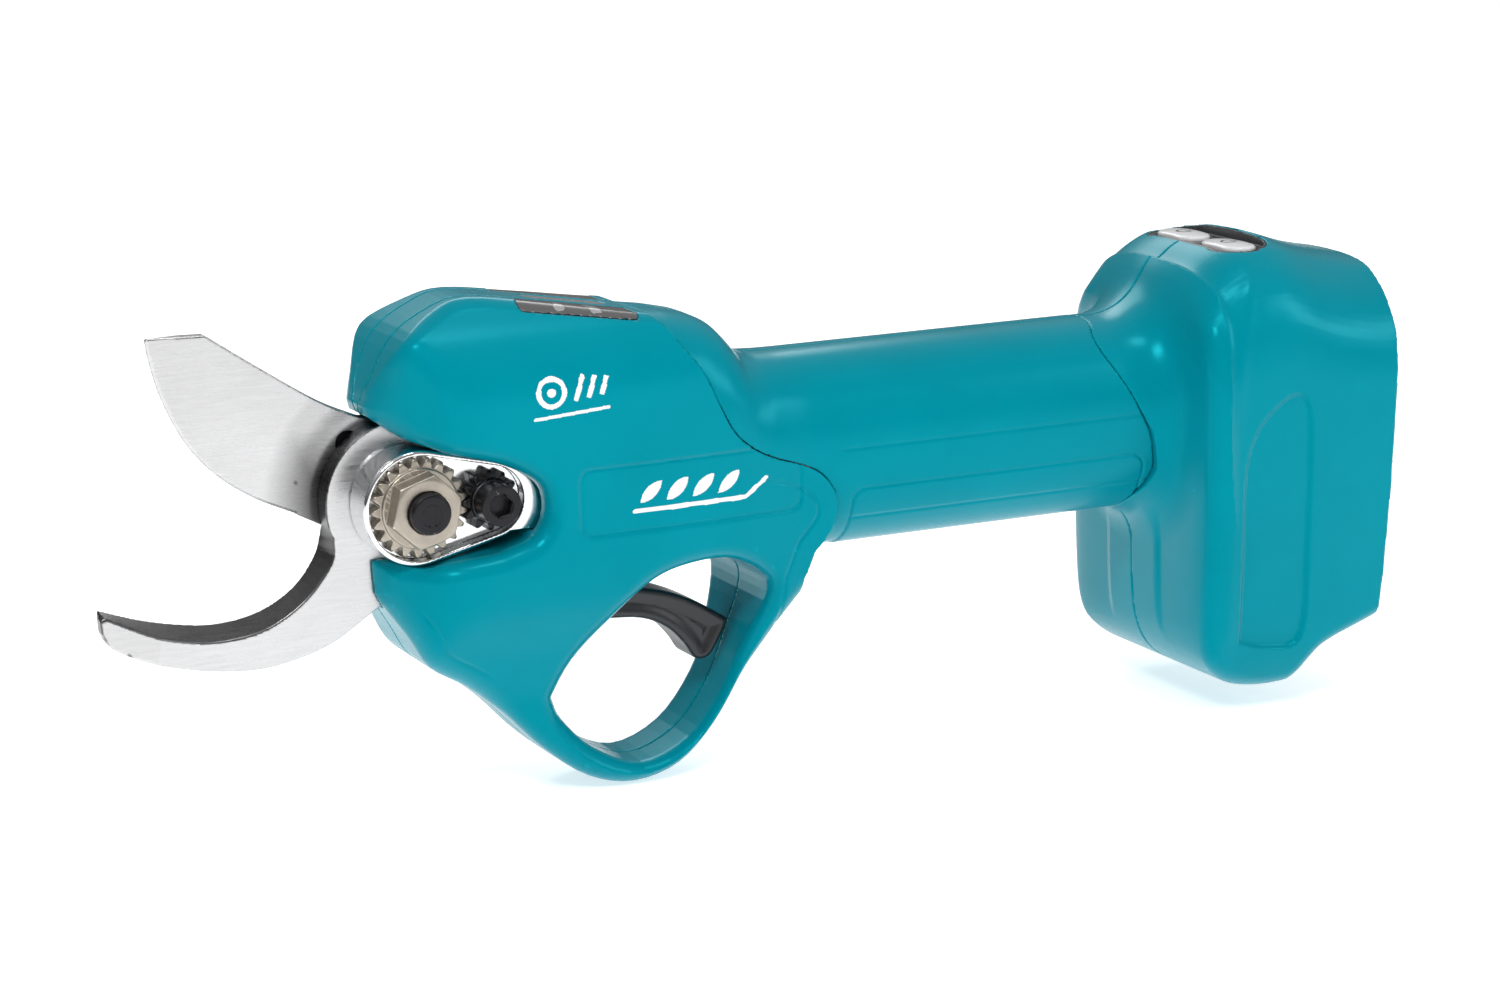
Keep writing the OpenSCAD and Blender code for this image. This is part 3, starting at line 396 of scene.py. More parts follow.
def shaded_steel(name, facing):
    """Blade steel with painted shade: darker in a ring round the hub but not above it, or darker on the slope
    that faces up.
    """
    # The edge colour given here is darker than the steel: it paints shade along the convex edges of the blade
    # and hook.
    mat = brushed(name, STEEL, 0.28, (0.6, 4, 9), (0, -0.7, 0), 0.8, 160, 0.4, (0.2, 0.2, 0.205))
    tree = mat.node_tree
    shader = tree.nodes["Principled BSDF"]
    paint = shader.inputs["Base Color"].links[0].from_socket
    where = tree.nodes.new("ShaderNodeTexCoord")
    if facing:
        # Painted shade on faces whose normal points up and towards the blade tips, darker the more they face
        # that way.
        slope = tree.nodes.new("ShaderNodeVectorMath")
        slope.operation = "DOT_PRODUCT"
        slope.inputs[1].default_value = (-0.75, 0, 0.85)
        tree.links.new(where.outputs["Normal"], slope.inputs[0])
        light = spread(tree, slope.outputs["Value"], 1, 0.14, 0.12, 0.4)
    else:
        # Painted shade in a ring round the hub, kept off the steel above the hub.
        far = tree.nodes.new("ShaderNodeVectorMath")
        far.operation = "DISTANCE"
        far.inputs[1].default_value = (PIVOT_X * MM, 0.002, AXIS_Z * MM)
        tree.links.new(where.outputs["Object"], far.inputs[0])
        hub_shade_fade = spread(tree, far.outputs["Value"], 0.1, 1, 0.0215, 0.0335)
        parts = tree.nodes.new("ShaderNodeSeparateXYZ")
        tree.links.new(where.outputs["Object"], parts.inputs["Vector"])
        above = spread(tree, parts.outputs["Z"], 0, 0.85, 0.082, 0.096)
        lighter = tree.nodes.new("ShaderNodeMath")
        lighter.operation = "MAXIMUM"
        tree.links.new(hub_shade_fade, lighter.inputs[0])
        tree.links.new(above, lighter.inputs[1])
        light = lighter.outputs["Value"]
    # The near black colour mixed in here is the painted shade.
    mix = tree.nodes.new("ShaderNodeMix")
    mix.data_type = "RGBA"
    mix.inputs["A"].default_value = (0.045, 0.045, 0.047, 1)
    tree.links.new(light, mix.inputs["Factor"])
    tree.links.new(paint, mix.inputs["B"])
    tree.links.new(mix.outputs["Result"], shader.inputs["Base Color"])
    return mat


# The moving blade's steel carries painted shade round its hub; the hook's carries it on its upward slope.
HUB_SHADE_STEEL = shaded_steel("hub_shade_steel", False)
UPSLOPE_SHADE_STEEL = shaded_steel("upslope_shade_steel", True)
PALE_LENS = plastic("pale_lens", (0.33, 0.33, 0.34), 0.22, 800, 0.93, coat=0.4)
PRINT_WHITE = plastic("print_white", (0.86, 0.87, 0.87), 0.4, 900, 0.96)


# ---------------------------------------------------------------- outlines of the housing

head_top = spline([(-103.4, 101), (-101.4, 107), (-96, 117.4), (-86, 123.6), (-77, 125.6), (-60, 123.2),
                   (-40, 119.7), (-26, 117.4), (-19.4, 115.8), (-14.2, 113.6), (-10.4, 109.8), (-7.6, 106),
                   (-3, 104), (3, 103.5)])
head_bottom = spline([(12, 51.6), (4.5, 43.5), (-6.9, 26), (-16, 12.3), (-26, 3.2), (-38, 0.1), (-50, 3.2),
                      (-61.7, 11.8), (-72, 22.4), (-82, 30.8), (-92, 37.4), (-97.2, 46)])
mouth = np.vstack([[(-97.2, 46), (-103.2, 56), (-103.6, 64.1), (-92, 63.7)],
                   spline([(-76, 65.4), (-68, 68), (-64.3, 72.6), (-64.3, 79), (-68, 83.2), (-76, 87.2),
                           (-88, 90.6)]), [(-96.4, 94), (-102.6, 98.6)]])
HEAD = Outline(np.vstack([head_top, [(30, 103.7), (30, 53.4)], head_bottom, mouth]))
LOOP = Outline(spline([(-59.6, 25), (-55, 34.4), (-47, 43.8), (-38, 52.4), (-29, 56.1), (-16, 56.7),
                       (-6.2, 52), (-3.6, 46), (-7.6, 34.5), (-13.6, 20.8), (-23, 9.6), (-36, 5),
                       (-48.6, 10.4), (-57, 19), (-59.6, 25)])[:-1])
FRONT = Outline(np.vstack([[(-34, 140), (-33.6, 119)], spline([(-30.4, 115.6), (-26, 109), (-21.8, 103),
                                                               (-15.5, 90), (-10, 84.4), (-3.5, 80.8),
                                                               (4.6, 78), (10, 75), (13.6, 70), (14, 64),
                                                               (11.2, 59.2), (7.8, 55.6)]),
                           [(5, 49), (4, -9), (-125, -9), (-125, 140)]]))
front_width = Profile([(-5, 11.6), (2, 13), (26, 13), (38, 17), (52, 23.4), (60, 25), (104, 25), (110, 22.8),
                       (118, 17.6), (126, 9.5)], 2.2)
top_width = Profile([(-108, 4), (-103, 9.6), (-96, 17.6), (-88, 23.4), (-80, 25.6), (-34, 25.6), (-14, 23.8),
                     (4, 21.3), (40, 20.9)], 1.8)
band_width = Profile([(95, -1.5), (97, 0), (108, 5), (116, 6), (130, 6)], 0.8)


def head_width(x, z):
    return soft_min(front_width(z), top_width(x), 4.0) + 0.3


def head_solid(x, y, z):
    """The head as one solid, rounded, with its shallow surface lines."""
    side = np.maximum(HEAD(x, z), -LOOP(x, z))
    r = 4.6 - 2.2 * step(110, z, 10)
    f = round_max(side, np.abs(y) - head_width(x, z), r)
    plate = pad(x + 26, z - 75.5, 30, 8.3, 3)
    f = f + 0.35 * step(0, -plate, 0.7) + 0.25 * bump(plate, 0.5)
    crease = FRONT(x, z) + 5.6
    f = f + 0.3 * bump(crease, 0.45) * (1 - step(92, z, 3)) * step(-6, x, 8)
    low = side + 5.2
    return f + 0.3 * bump(low, 0.5) * (1 - step(-78, x, 6)) * (1 - step(52, z, 4))


def pad(u, v, half_u, half_v, r):
    """Signed distance to a rectangle with round corners."""
    a, b = np.abs(u) - half_u + r, np.abs(v) - half_v + r
    return np.minimum(np.maximum(a, b), 0) + np.hypot(np.maximum(a, 0), np.maximum(b, 0)) - r


def rod(u, v, a, b, r):
    """Signed distance to a bar with round ends from a to b."""
    e = np.subtract(b, a)
    t = np.clip(((u - a[0]) * e[0] + (v - a[1]) * e[1]) / (e @ e), 0, 1)
    return np.hypot(u - a[0] - t * e[0], v - a[1] - t * e[1]) - r


LOCK_GAP = 17.82


def drop(x, z, r1, r2):
    """Signed distance to the case's outline: two unequal circles joined by tangents."""
    u, v = x - PIVOT_X, np.abs(z - AXIS_Z)
    k = (r1 - r2) / LOCK_GAP
    c = math.sqrt(1 - k * k)
    along = u * c - v * k
    flat = u * k + v * c - r1
    return np.where(along < 0, np.hypot(u, v) - r1,
                    np.where(along > LOCK_GAP * c, np.hypot(u - LOCK_GAP, v) - r2, flat))


jaw_far = spline([(-169.3, 58.8), (-158.5, 55), (-148, 52.6), (-139.4, 51.9), (-129.6, 53.6), (-121, 58.4),
                  (-115.6, 65.2), (-113.8, 70.6)])
jaw_near = spline([(-169.4, 56.9), (-158.5, 52.2), (-148, 49.4), (-139.4, 48.7), (-129.6, 50.4), (-120, 56),
                   (-112.9, 64.4), (-112.2, 70.4)])
jaw_back = spline([(-94, 56), (-103.4, 50.8), (-112, 45.4), (-121, 42.2), (-132, 40.6), (-144.4, 41.8),
                   (-157, 45), (-166.4, 49.4), (-169, 53.6)])
hub_arc = arc((PIVOT_X, AXIS_Z), 19.8, 194, -60, 40)
JAW_FAR = Outline(np.vstack([jaw_far, hub_arc, jaw_back]), 0.25, 5)
JAW_NEAR = Outline(np.vstack([jaw_near, hub_arc, jaw_back]), 0.25, 5)
spine = spline([(-139.2, 120.8), (-126, 111.6), (-112, 102.4), (-102, 97.6)])
cutting_edge = spline([(-119, 75.6), (-129, 80.4), (-138.4, 87.2), (-145.6, 95.8), (-150.6, 106.4),
                       (-153, 115), (-154, 121.3)])
BLADE = Outline(np.vstack([spine, arc((PIVOT_X, AXIS_Z), 18.6, 86, -162, 40), cutting_edge]), 0.25, 5)
EDGE = Outline(np.vstack([cutting_edge, [(-170, 121.3), (-170, 60), (-119, 60)]]), 0.25, 5)
HEAD_SCREWS = [(-67, 110, 20), (-80, 44, 15.5), (-36.5, 104.5, 22), (-67.5, 27, 10.5), (0.8, 46.5, 16.5)]
HANDLE_SCREWS = [(30, 64, 15.5), (82, 64, 15.5), (30, 96.5, 14.4), (82, 96.5, 14.4)]
FOOT_SCREWS = [(126, 24, 34.5), (126, 105, 30.5), (147, 30, 34.5), (147, 103, 30.5)]


def with_screws(shell, outer, x, y, z, screws):
    """Adds a boss round each screw, then its hole and counterbore."""
    for sx, sz, top in screws:
        r = np.hypot(x - sx, z - sz)
        shell = np.minimum(shell, np.maximum(r - 3.9, outer + 0.9))
        hole = np.maximum(r - 1.54, -9.2 - y)
        shell = np.maximum(shell, -np.minimum(hole, np.maximum(r - 2.95, top - 2 - y)))
    return shell


def lens_left(x, y, z):
    return np.maximum(rod(x, z, (-64.4, 122.9), (-37.4, 118.9), 1.3), 3 - np.abs(y))


def lens_top(x, y, z):
    return np.maximum(rod(x, y, (-57, 0), (-41.5, 0), 3.4), 100 - z)


def head_shell(x, y, z):
    """The hollow head with every opening, before it is split into its covers."""
    outer = head_solid(x, y, z)
    shell = np.maximum(outer, -outer - WALL)
    shell = with_screws(shell, outer, x, y, z, HEAD_SCREWS)
    about = np.hypot(x - PIVOT_X, z - AXIS_Z)
    room = np.where(x > PIVOT_X + 2, 32.6, np.where(z > AXIS_Z, 22.5, 26.0))
    blades = np.maximum(np.maximum(about - room, -6.5 - y), y - 13.2)
    swept = np.minimum(np.maximum(BLADE(x, z) - 0.7, np.abs(y - 2) - 2.8),
                       np.maximum(JAW_FAR(x, z) - 0.4, np.abs(y + 3) - 3.3))
    blades = np.minimum(blades, np.maximum(swept, x + 92))
    case = np.maximum(drop(x, z, 14.5, 10.3), np.abs(y) - 18.3)
    neck = np.maximum(np.maximum(np.abs(x + 67) - 13, np.abs(z - AXIS_Z) - 8.4), np.abs(y) - 18.3)
    trigger = np.maximum(np.maximum(pad(x + 42, z - 47.5, 22, 11, 1), np.abs(y) - 7.1), 36 - z)
    for cut in (blades, case, neck, trigger):
        shell = np.maximum(shell, -cut)
    return np.maximum(shell, FRONT(x, z) + SEAM / 2)


def in_band(y, z):
    """Negative where the centre band runs over the top of the head."""
    return np.maximum(np.abs(y) - band_width(z), 96 - z)


def head_left(x, y, z):
    f = np.maximum(head_shell(x, y, z), y + SEAM)
    return np.maximum(np.maximum(f, SEAM - in_band(y, z)), 0.12 - lens_left(x, y, z))


def head_right(x, y, z):
    f = np.maximum(head_shell(x, y, z), SEAM - y)
    return np.maximum(np.maximum(f, SEAM - in_band(y, z)), 0.12 - lens_left(x, y, z))


def head_band(x, y, z):
    f = np.maximum(head_shell(x, y, z), in_band(y, z) + SEAM)
    return np.maximum(f, 0.12 - lens_top(x, y, z))


def lens_piece(window, sign):
    def field(x, y, z):
        f = head_solid(x, y, z)
        return np.maximum(np.maximum(np.maximum(f + 0.14, -f - 2.2), window(x, y, z)),
                          -sign * y if sign else f)
    return field


def build_head():
    lo, hi = (-107, -26.5, -1.5), (15.5, 26.5, 127.5)
    h = 0.5
    sculpt("head_cover_left", head_left, lo, (hi[0], 0.5, hi[2]), h, "main_body", "teal_plastic",
           ["head_left_cover"])
    sculpt("head_cover_right", head_right, (lo[0], -0.5, lo[2]), hi, h, "main_body", "teal_plastic",
           ["head_right_cover"])
    sculpt("head_centre_band", head_band, (-107, -7.5, 94), (-20, 7.5, 127.5), 0.5, "main_body",
           "teal_plastic", ["head_band"])
    for side, sign in (("left", -1), ("right", 1)):
        edges = sorted((sign * 4.0, sign * 24.0))
        sculpt("indicator_lens_" + side, lens_piece(lens_left, sign), (-68, edges[0], 114),
               (-34, edges[1], 126), 0.35, "main_body", "smoked_lens", ["indicator_lens"])
    top = sculpt("top_indicator_lens", lens_piece(lens_top, 0), (-62, -5, 114), (-36, 5, 126), 0.35,
                 "main_body", "smoked_lens", ["top_lens"])
    top.data.materials[0] = PALE_LENS


# ---------------------------------------------------------------- handle

grip_half = Profile([(-36, 24.9), (-26, 24.4), (-19, 23.8), (-12.5, 23.1), (-5, 22.2), (8, 21), (110, 21)], 2)
grip_low = Profile([(-36, 50), (-26, 51), (-12.5, 52.8), (8, 53.3), (110, 53.3)], 2)
grip_high = Profile([(-36, 118.8), (-26, 117.5), (-19, 116), (-14.2, 113.8), (-10.4, 109.9), (-7.4, 106),
                     (-2.6, 104), (4, 103.7), (110, 103.7)], 1.0)
grip_power = Profile([(-36, 3.6), (-19, 3), (-5, 2.6), (8, 2.4), (110, 2.4)], 2)
ring_seam = Profile([(48, 101), (53, 101), (57, 101.5), (61, 104.8), (66, 106.4), (76, 104.4), (87, 98.6),
                     (95, 93.6), (100, 91.6), (104, 96)], 1.2)


def tube_field(x, y, z):
    """Distance, along the ray from the axis, to the handle's oval section."""
    low, high = grip_low(x), grip_high(x)
    mid, b, a, p = (low + high) / 2, (high - low) / 2, grip_half(x), grip_power(x)
    q = (np.abs(y / a) ** p + np.abs((z - mid) / b) ** p + 1e-9) ** (1 / p)
    r = np.hypot(y, z - mid)
    return (q - 1) * r / q


def handle_solid(x, y, z):
    f = tube_field(x, y, z)
    on = step(16, x, 3) * step(8, np.abs(y), 2)
    f = f + 0.22 * bump(z - 80.5, 0.45) * on
    panel = pad(x - 61, z - 55, 42, 15, 4)
    f = f - 0.3 * step(0, -panel, 0.8) + 0.3 * bump(panel, 0.4)
    return f + 0.22 * bump(z - 62.4, 0.4) * step(19, x, 3) * step(8, np.abs(y), 2)


def handle_shell(x, y, z):
    outer = handle_solid(x, y, z)
    shell = np.maximum(outer, -outer - WALL)
    shell = with_screws(shell, outer, x, y, z, HANDLE_SCREWS)
    shell = np.maximum(shell, SEAM - FRONT(x, z))
    return np.maximum(shell, x - ring_seam(z) + SEAM / 2)


def build_handle():
    lo, hi = (-36, -26, 48), (108, 26, 120)
    h = 0.55
    sculpt("handle_left", lambda x, y, z: np.maximum(handle_shell(x, y, z), y + SEAM), lo,
           (hi[0], 0.5, hi[2]), h, "main_body", "teal_plastic", ["handle_left_shell"])
    sculpt("handle_right", lambda x, y, z: np.maximum(handle_shell(x, y, z), SEAM - y),
           (lo[0], -0.5, lo[2]), hi, h, "main_body", "teal_plastic", ["handle_right_shell"])


# ---------------------------------------------------------------- battery foot

LEAN = math.radians(3.1)
REAR_X, REAR_Z = 168.2, 60.0
BAY_DEPTH = 10.5
PANEL_X, PANEL_Z = 134.0, 117.6
BUTTON_GAP = 22.0

foot_latch = spline([(138, 5.3), (141.4, 5.8), (144.2, 8.2), (146.8, 11.5), (149.8, 14.6), (154, 16.8),
                     (160, 19), (168, 22)], 4)
foot_front = spline([(112.6, 100), (111.6, 88), (111.2, 70), (111.2, 42), (111.4, 30), (112.4, 21.4),
                     (115.4, 14.4), (120.3, 9.6), (126, 6.8), (132, 5.5), (136, 5.2)], 4)
foot_top = spline([(168, 116.8), (157, 119.6), (148, 122.2), (142, 123.5), (136, 123.6), (130, 122.5),
                   (125, 120.7), (121, 118), (117, 112.8), (113.6, 104.4)], 4)
FOOT_SIDE = Outline(np.vstack([foot_front, foot_latch, [(174, 25), (174, 115)], foot_top]))
foot_half = spline([(27, 3), (30.6, 6.6), (33, 12.4), (34.4, 21), (36, 37), (37.3, 53), (38, 70), (38, 80),
                    (37.6, 88.4), (34.9, 98), (30.6, 105), (25, 110.2), (18.6, 114), (10, 116.3), (0, 117)],
                   4)
FOOT_BACK = Outline(np.vstack([[(0, -20), (27, -20)], foot_half, [(-20, 117), (-20, -20)]]))
foot_corner = spline([(111.2, 14), (111.5, 23), (112.3, 30), (114, 34.6), (117.2, 37.2), (122, 38)], 4)
FOOT_TOP = Outline(np.vstack([[(90, -20), (90, 14)], foot_corner, [(180, 38), (180, -20)]]))
LATCH = Outline(np.vstack([foot_latch, [(180, 26), (180, -14), (137.6, -14)]]))
DIMPLE = Outline(spline([(123.5, 20), (123.2, 45), (123.6, 66), (127, 76), (133, 82), (139, 84.5),
                         (142.6, 80), (143, 66), (142.8, 45), (142.4, 20), (133, 17.4), (123.5, 20)],
                        4)[:-1])
top_rise = Profile([(108, 0), (114, 0.8), (119, 3.4), (124, 6.2), (129, 8.6), (138, 8.8), (144, 7.2),
                    (150, 4.6), (158, 2), (168, 0), (175, 0)], 2)
neck_flare = Profile([(90, 0), (99, 0.1), (103, 0.8), (106, 1.8), (109, 3.6), (112, 6.6), (115, 11),
                      (120, 18)], 1.2)


def foot_solid(x, y, z):
    """The battery foot as one solid with the flare to the handle."""
    half = np.abs(y)
    lift = top_rise(x) * step(92, z, 40)
    block = round_max(FOOT_SIDE(x, z), FOOT_BACK(half, z - lift), 4.0)
    block = round_max(block, FOOT_TOP(x, half), 3.0)
    grip = np.maximum((tube_field(x, y, z) + 0.15 - neck_flare(x)) * 0.8, x - 117)
    f = soft_min(block, grip, 5.0)
    f = f + 1.2 * step(0, -DIMPLE(x, z), 1.5) * step(30, half, 4)
    ridge = x - 119.6 - 0.0035 * (z - 66) ** 2 * step(66, z, 20)
    return f - 0.35 * bump(ridge, 2.2) * step(30, half, 4) * step(20, z, 10)


def rear_plane(x, z):
    """Distance behind the leaning plane that the battery meets."""
    return (x - REAR_X) * math.cos(LEAN) - (z - REAR_Z) * math.sin(LEAN)


def panel_well(x, y):
    """Distance outside the recess of the button panel, seen from above."""
    return rod(y, x, (-14.5, PANEL_X), (14.5, PANEL_X), 8)


def foot_shell(x, y, z):
    outer = foot_solid(x, y, z)
    back = rear_plane(x, z)
    shell = np.maximum(outer, -np.maximum(outer + WALL, back + BAY_DEPTH + WALL))
    shell = np.maximum(shell, -LATCH(x, z))
    shell = with_screws(shell, outer, x, y, z, FOOT_SCREWS)
    well = panel_well(x, y)
    floor_slab = np.maximum(np.maximum(well - WALL, outer), PANEL_Z - WALL - z)
    shell = np.minimum(shell, floor_slab)
    shell = np.maximum(shell, -np.maximum(well, PANEL_Z - z))
    bay = np.maximum(outer + 3.2, -back - BAY_DEPTH)
    open_low = np.maximum(np.maximum(np.abs(y) - 32, z - 60), -back - BAY_DEPTH)
    shell = np.maximum(shell, -np.minimum(bay, open_low))
    block = np.maximum(np.maximum(np.abs(y) - 21.1, np.abs(z - 62) - 20.1), -(back + BAY_DEPTH + 5))
    shell = np.maximum(shell, -block)
    rail = np.maximum(np.maximum(np.abs(np.abs(y) - 32.75) - 2.75, np.abs(z - 59) - 29), -back - 4.5)
    shell = np.minimum(shell, np.maximum(rail, outer + 0.6))
    passage = np.maximum(tube_field(x, y, z) + WALL, np.abs(x - 108) - 14)
    shell = np.maximum(shell, -passage)
    shell = np.maximum(shell, back)
    return np.maximum(shell, ring_seam(z) + SEAM / 2 - x)


def rounded_slot(x, y, z, half, r, x0, y0, z0, z1, soft):
    """A solid with round ends along Y and softened edges."""
    side = rod(y, x, (y0 - half + r, x0), (y0 + half - r, x0), r)
    return round_max(side, np.abs(z - (z0 + z1) / 2) - (z1 - z0) / 2, soft)


def button_field(y0):
    def field(x, y, z):
        crown = z + 0.018 * ((x - PANEL_X) ** 2 + 0.35 * (y - y0) ** 2)
        cap = rounded_slot(x, y, crown, 9.0, 4.7, PANEL_X, y0, PANEL_Z - 1, PANEL_Z + 3.8, 0.7)
        return np.maximum(cap, PANEL_Z + 1.1 - z)
    return field


def panel_field(x, y, z):
    """The dark panel with its upstanding edge, and a hole for each button."""
    well = panel_well(x, y) + 0.12
    plate = np.maximum(well, np.abs(z - PANEL_Z - 1.2) - 1.2)
    edge = np.maximum(np.maximum(well, -well - 0.7), np.maximum(PANEL_Z - z, foot_solid(x, y, z) + 0.5))
    f = np.minimum(plate, edge)
    for s in (-1, 1):
        f = np.maximum(f, -rod(y, x, (s * BUTTON_GAP / 2 - 4.3, PANEL_X),
                               (s * BUTTON_GAP / 2 + 4.3, PANEL_X), 4.95))
    return f


def build_foot():
    lo, hi = (90, -39.5, 3.5), (171, 39.5, 127)
    h = 0.56
    sculpt("foot_left", lambda x, y, z: np.maximum(foot_shell(x, y, z), y + SEAM), lo, (hi[0], 0.5, hi[2]), h,
           "main_body", "teal_plastic", ["foot_left_shell"])
    sculpt("foot_right", lambda x, y, z: np.maximum(foot_shell(x, y, z), SEAM - y), (lo[0], -0.5, lo[2]),
           hi, h, "main_body", "teal_plastic", ["foot_right_shell"])
    panel = sculpt("control_panel", panel_field, (125, -23.5, 116.8), (143, 23.5, 125), 0.3, "main_body",
                   "grey_plastic", ["button_panel"])
    panel.data.materials[0] = DARK_PANEL
    for name, s in (("mode_button", 1), ("power_button", -1)):
        y0 = s * BUTTON_GAP / 2
        sculpt(name + "_cap", button_field(y0), (128.5, y0 - 10, 118), (139.5, y0 + 10, 122.2), 0.25, name,
               "white_plastic", [name])


# ---------------------------------------------------------------- cutting head

def gear_points(teeth, module, tip=0.9, root=1.1, fat=0.43):
    """Outline of a gear with slightly rounded teeth."""
    out = []
    for i in range(teeth):
        for radius, at in ((-root, -0.34 - 0.16 * fat), (-0.2, -0.5 * fat - 0.03), (tip * 0.75, -0.3 * fat),
                           (tip, -0.2 * fat), (tip, 0.2 * fat), (tip * 0.75, 0.3 * fat),
                           (-0.2, 0.5 * fat + 0.03), (-root, 0.34 + 0.16 * fat)):
            a = 2 * math.pi * (i + at) / teeth
            r = teeth * module / 2 + radius * module
            out.append((r * math.cos(a), r * math.sin(a)))
    return out


NUT_TEETH, LOCK_TEETH, LOCK_MODULE = 21, 12, 1.08
FLOOR_Y = -13.4
BOLT_R = 5.0
HUB_HOLE_X, HUB_HOLE_Z = -105.6, 91.6
NUT_RING = Outline(gear_points(NUT_TEETH, LOCK_MODULE), 0.12, 3)
LOCK_RING = Outline(gear_points(LOCK_TEETH, LOCK_MODULE), 0.12, 3)


def turned(u, v, degrees):
    a = math.radians(degrees)
    return u * math.cos(a) + v * math.sin(a), v * math.cos(a) - u * math.sin(a)


def hexagon(u, v, half, start):
    """Signed distance to a hexagon with that half width across its flats."""
    d = None
    for k in range(3):
        a = math.radians(start + 30 + 60 * k)
        side = np.abs(u * math.cos(a) + v * math.sin(a)) - half
        d = side if d is None else np.maximum(d, side)
    return d


def nut_field(x, y, z):
    u, v = x - PIVOT_X, z - AXIS_Z
    r = np.hypot(u, v)
    gu, gv = turned(u, v, 180 / NUT_TEETH)
    top = FLOOR_Y - 3.4
    lean_cut = (r - 11.4) * 0.6 + (top - y) * 0.8 - 0.1
    ring = round_max(NUT_RING(gu, gv), np.abs(y - FLOOR_Y + 1.7) - 1.68, 0.2)
    ring = soft_max(ring, lean_cut, 0.3)
    body = round_max(hexagon(u, v, 8.0, 17), np.abs(y - FLOOR_Y + 5.5) - 3.5, 0.3)
    cap = (r - 8.15) * 0.5 + (FLOOR_Y - 9.0 - y) * 0.86
    body = soft_max(body, cap, 0.4)
    step_ring = round_max(r - 9.7, np.abs(y - FLOOR_Y + 2.2) - 2.0, 0.4)
    f = soft_min(soft_min(ring, body, 0.35), step_ring, 0.35)
    flare = (BOLT_R + 0.3 - r - (y - FLOOR_Y + 9.0)) * 0.7
    return np.maximum(np.maximum(f, BOLT_R - r), flare)


def bolt_field(x, y, z):
    r = np.hypot(x - PIVOT_X, z - AXIS_Z)
    far = 18.0
    end = soft_max(round_max(r - BOLT_R, np.maximum(-25 - y, y - far - 0.4), 0.4),
                   (r - 4.3 - y - 25.3) * 0.7, 0.3)
    dimple = np.maximum(np.abs(r - 2.6) - 0.22, np.abs(y + 25) - 0.16)
    head = round_max(hexagon(x - PIVOT_X, z - AXIS_Z, 7.0, 0), np.abs(y - far - 2.8) - 2.7, 0.5)
    head = soft_max(head, (r - 7.3) * 0.5 + (y - far - 5.5) * 0.86, 0.4)
    return np.maximum(np.minimum(end, head), -dimple)


def lock_gear_field(x, y, z):
    u, v = x - PIVOT_X - LOCK_GAP, z - AXIS_Z
    r = np.hypot(u, v)
    ring = round_max(LOCK_RING(u, v), np.abs(y - FLOOR_Y + 1.9) - 1.88, 0.2)
    ring = soft_max(ring, (r - 6.6) * 0.6 + (FLOOR_Y - 3.9 - y) * 0.8, 0.3)
    hub = round_max(r - 5.3, np.abs(y - FLOOR_Y + 2.6) - 2.6, 0.3)
    return np.maximum(soft_min(ring, hub, 0.5), 3.05 - r)


def lock_bolt_field(x, y, z):
    u, v = x - PIVOT_X - LOCK_GAP, z - AXIS_Z
    r = np.hypot(u, v)
    head = round_max(r - 5.0, np.abs(y - FLOOR_Y + 8.12) - 2.88, 0.45)
    socket = np.maximum(hexagon(u, v, 2.5, 12), y - FLOOR_Y + 8.2)
    mouth_ring = np.hypot(r - 2.7, y - FLOOR_Y + 11) - 0.35
    shank = np.maximum(r - 2.98, np.abs(y + 12.4) - 6.2)
    return np.minimum(np.maximum(np.maximum(head, -socket), -mouth_ring), shank)


def case_holes(f, x, y, z):
    """Cuts the case's bores: bolt, lock screw, bearings and the room of the blades."""
    r, about = np.hypot(y, z - AXIS_Z), np.hypot(x - PIVOT_X, z - AXIS_Z)
    f = np.maximum(f, BOLT_R + 0.05 - about)
    for hole in (np.maximum(np.hypot(x - PIVOT_X - LOCK_GAP, z - AXIS_Z) - 3.05, y),
                 np.maximum(r - 8.6, np.abs(x + 66.95) - 9.05), np.maximum(r - 11.05, np.abs(x + 51) - 7),
                 np.maximum(r - 18.75, np.abs(x + 38.4) - 8.4),
                 np.maximum(about - 31.8, np.abs(y - 3.42) - 9.57)):
        f = np.maximum(f, -hole)
    return f


def case_plate(x, y, z):
    """The near half, a long dish with a rim round it."""
    near = round_max(drop(x, z, 14.0, 9.8), np.abs(y + 11.58) - 5.42, 0.8)
    near = round_max(near, -np.maximum(drop(x, z, 12.7, 8.5), y - FLOOR_Y), 0.3)
    bar = np.maximum(np.maximum(np.abs(x + 67) - 12.9, np.abs(z - AXIS_Z) - 8), np.abs(y + 11.58) - 5.42)
    bar = np.maximum(bar, -drop(x, z, 13.2, 9.0))
    return case_holes(np.minimum(near, bar), x, y, z)


def case_rear(x, y, z):
    """The far plate and the motor's barrel."""
    far = round_max(drop(x, z, 14.0, 9.8), np.abs(y - 15.5) - 2.5, 0.45)
    bar = np.maximum(np.maximum(np.abs(x + 67) - 12.9, np.abs(z - AXIS_Z) - 8), np.abs(y - 15.5) - 2.5)
    barrel = round_max(np.hypot(y, z - AXIS_Z) - 20.2, np.abs(x + 45.75) - 14.25, 0.4)
    return case_holes(np.minimum(np.minimum(far, bar), barrel), x, y, z)


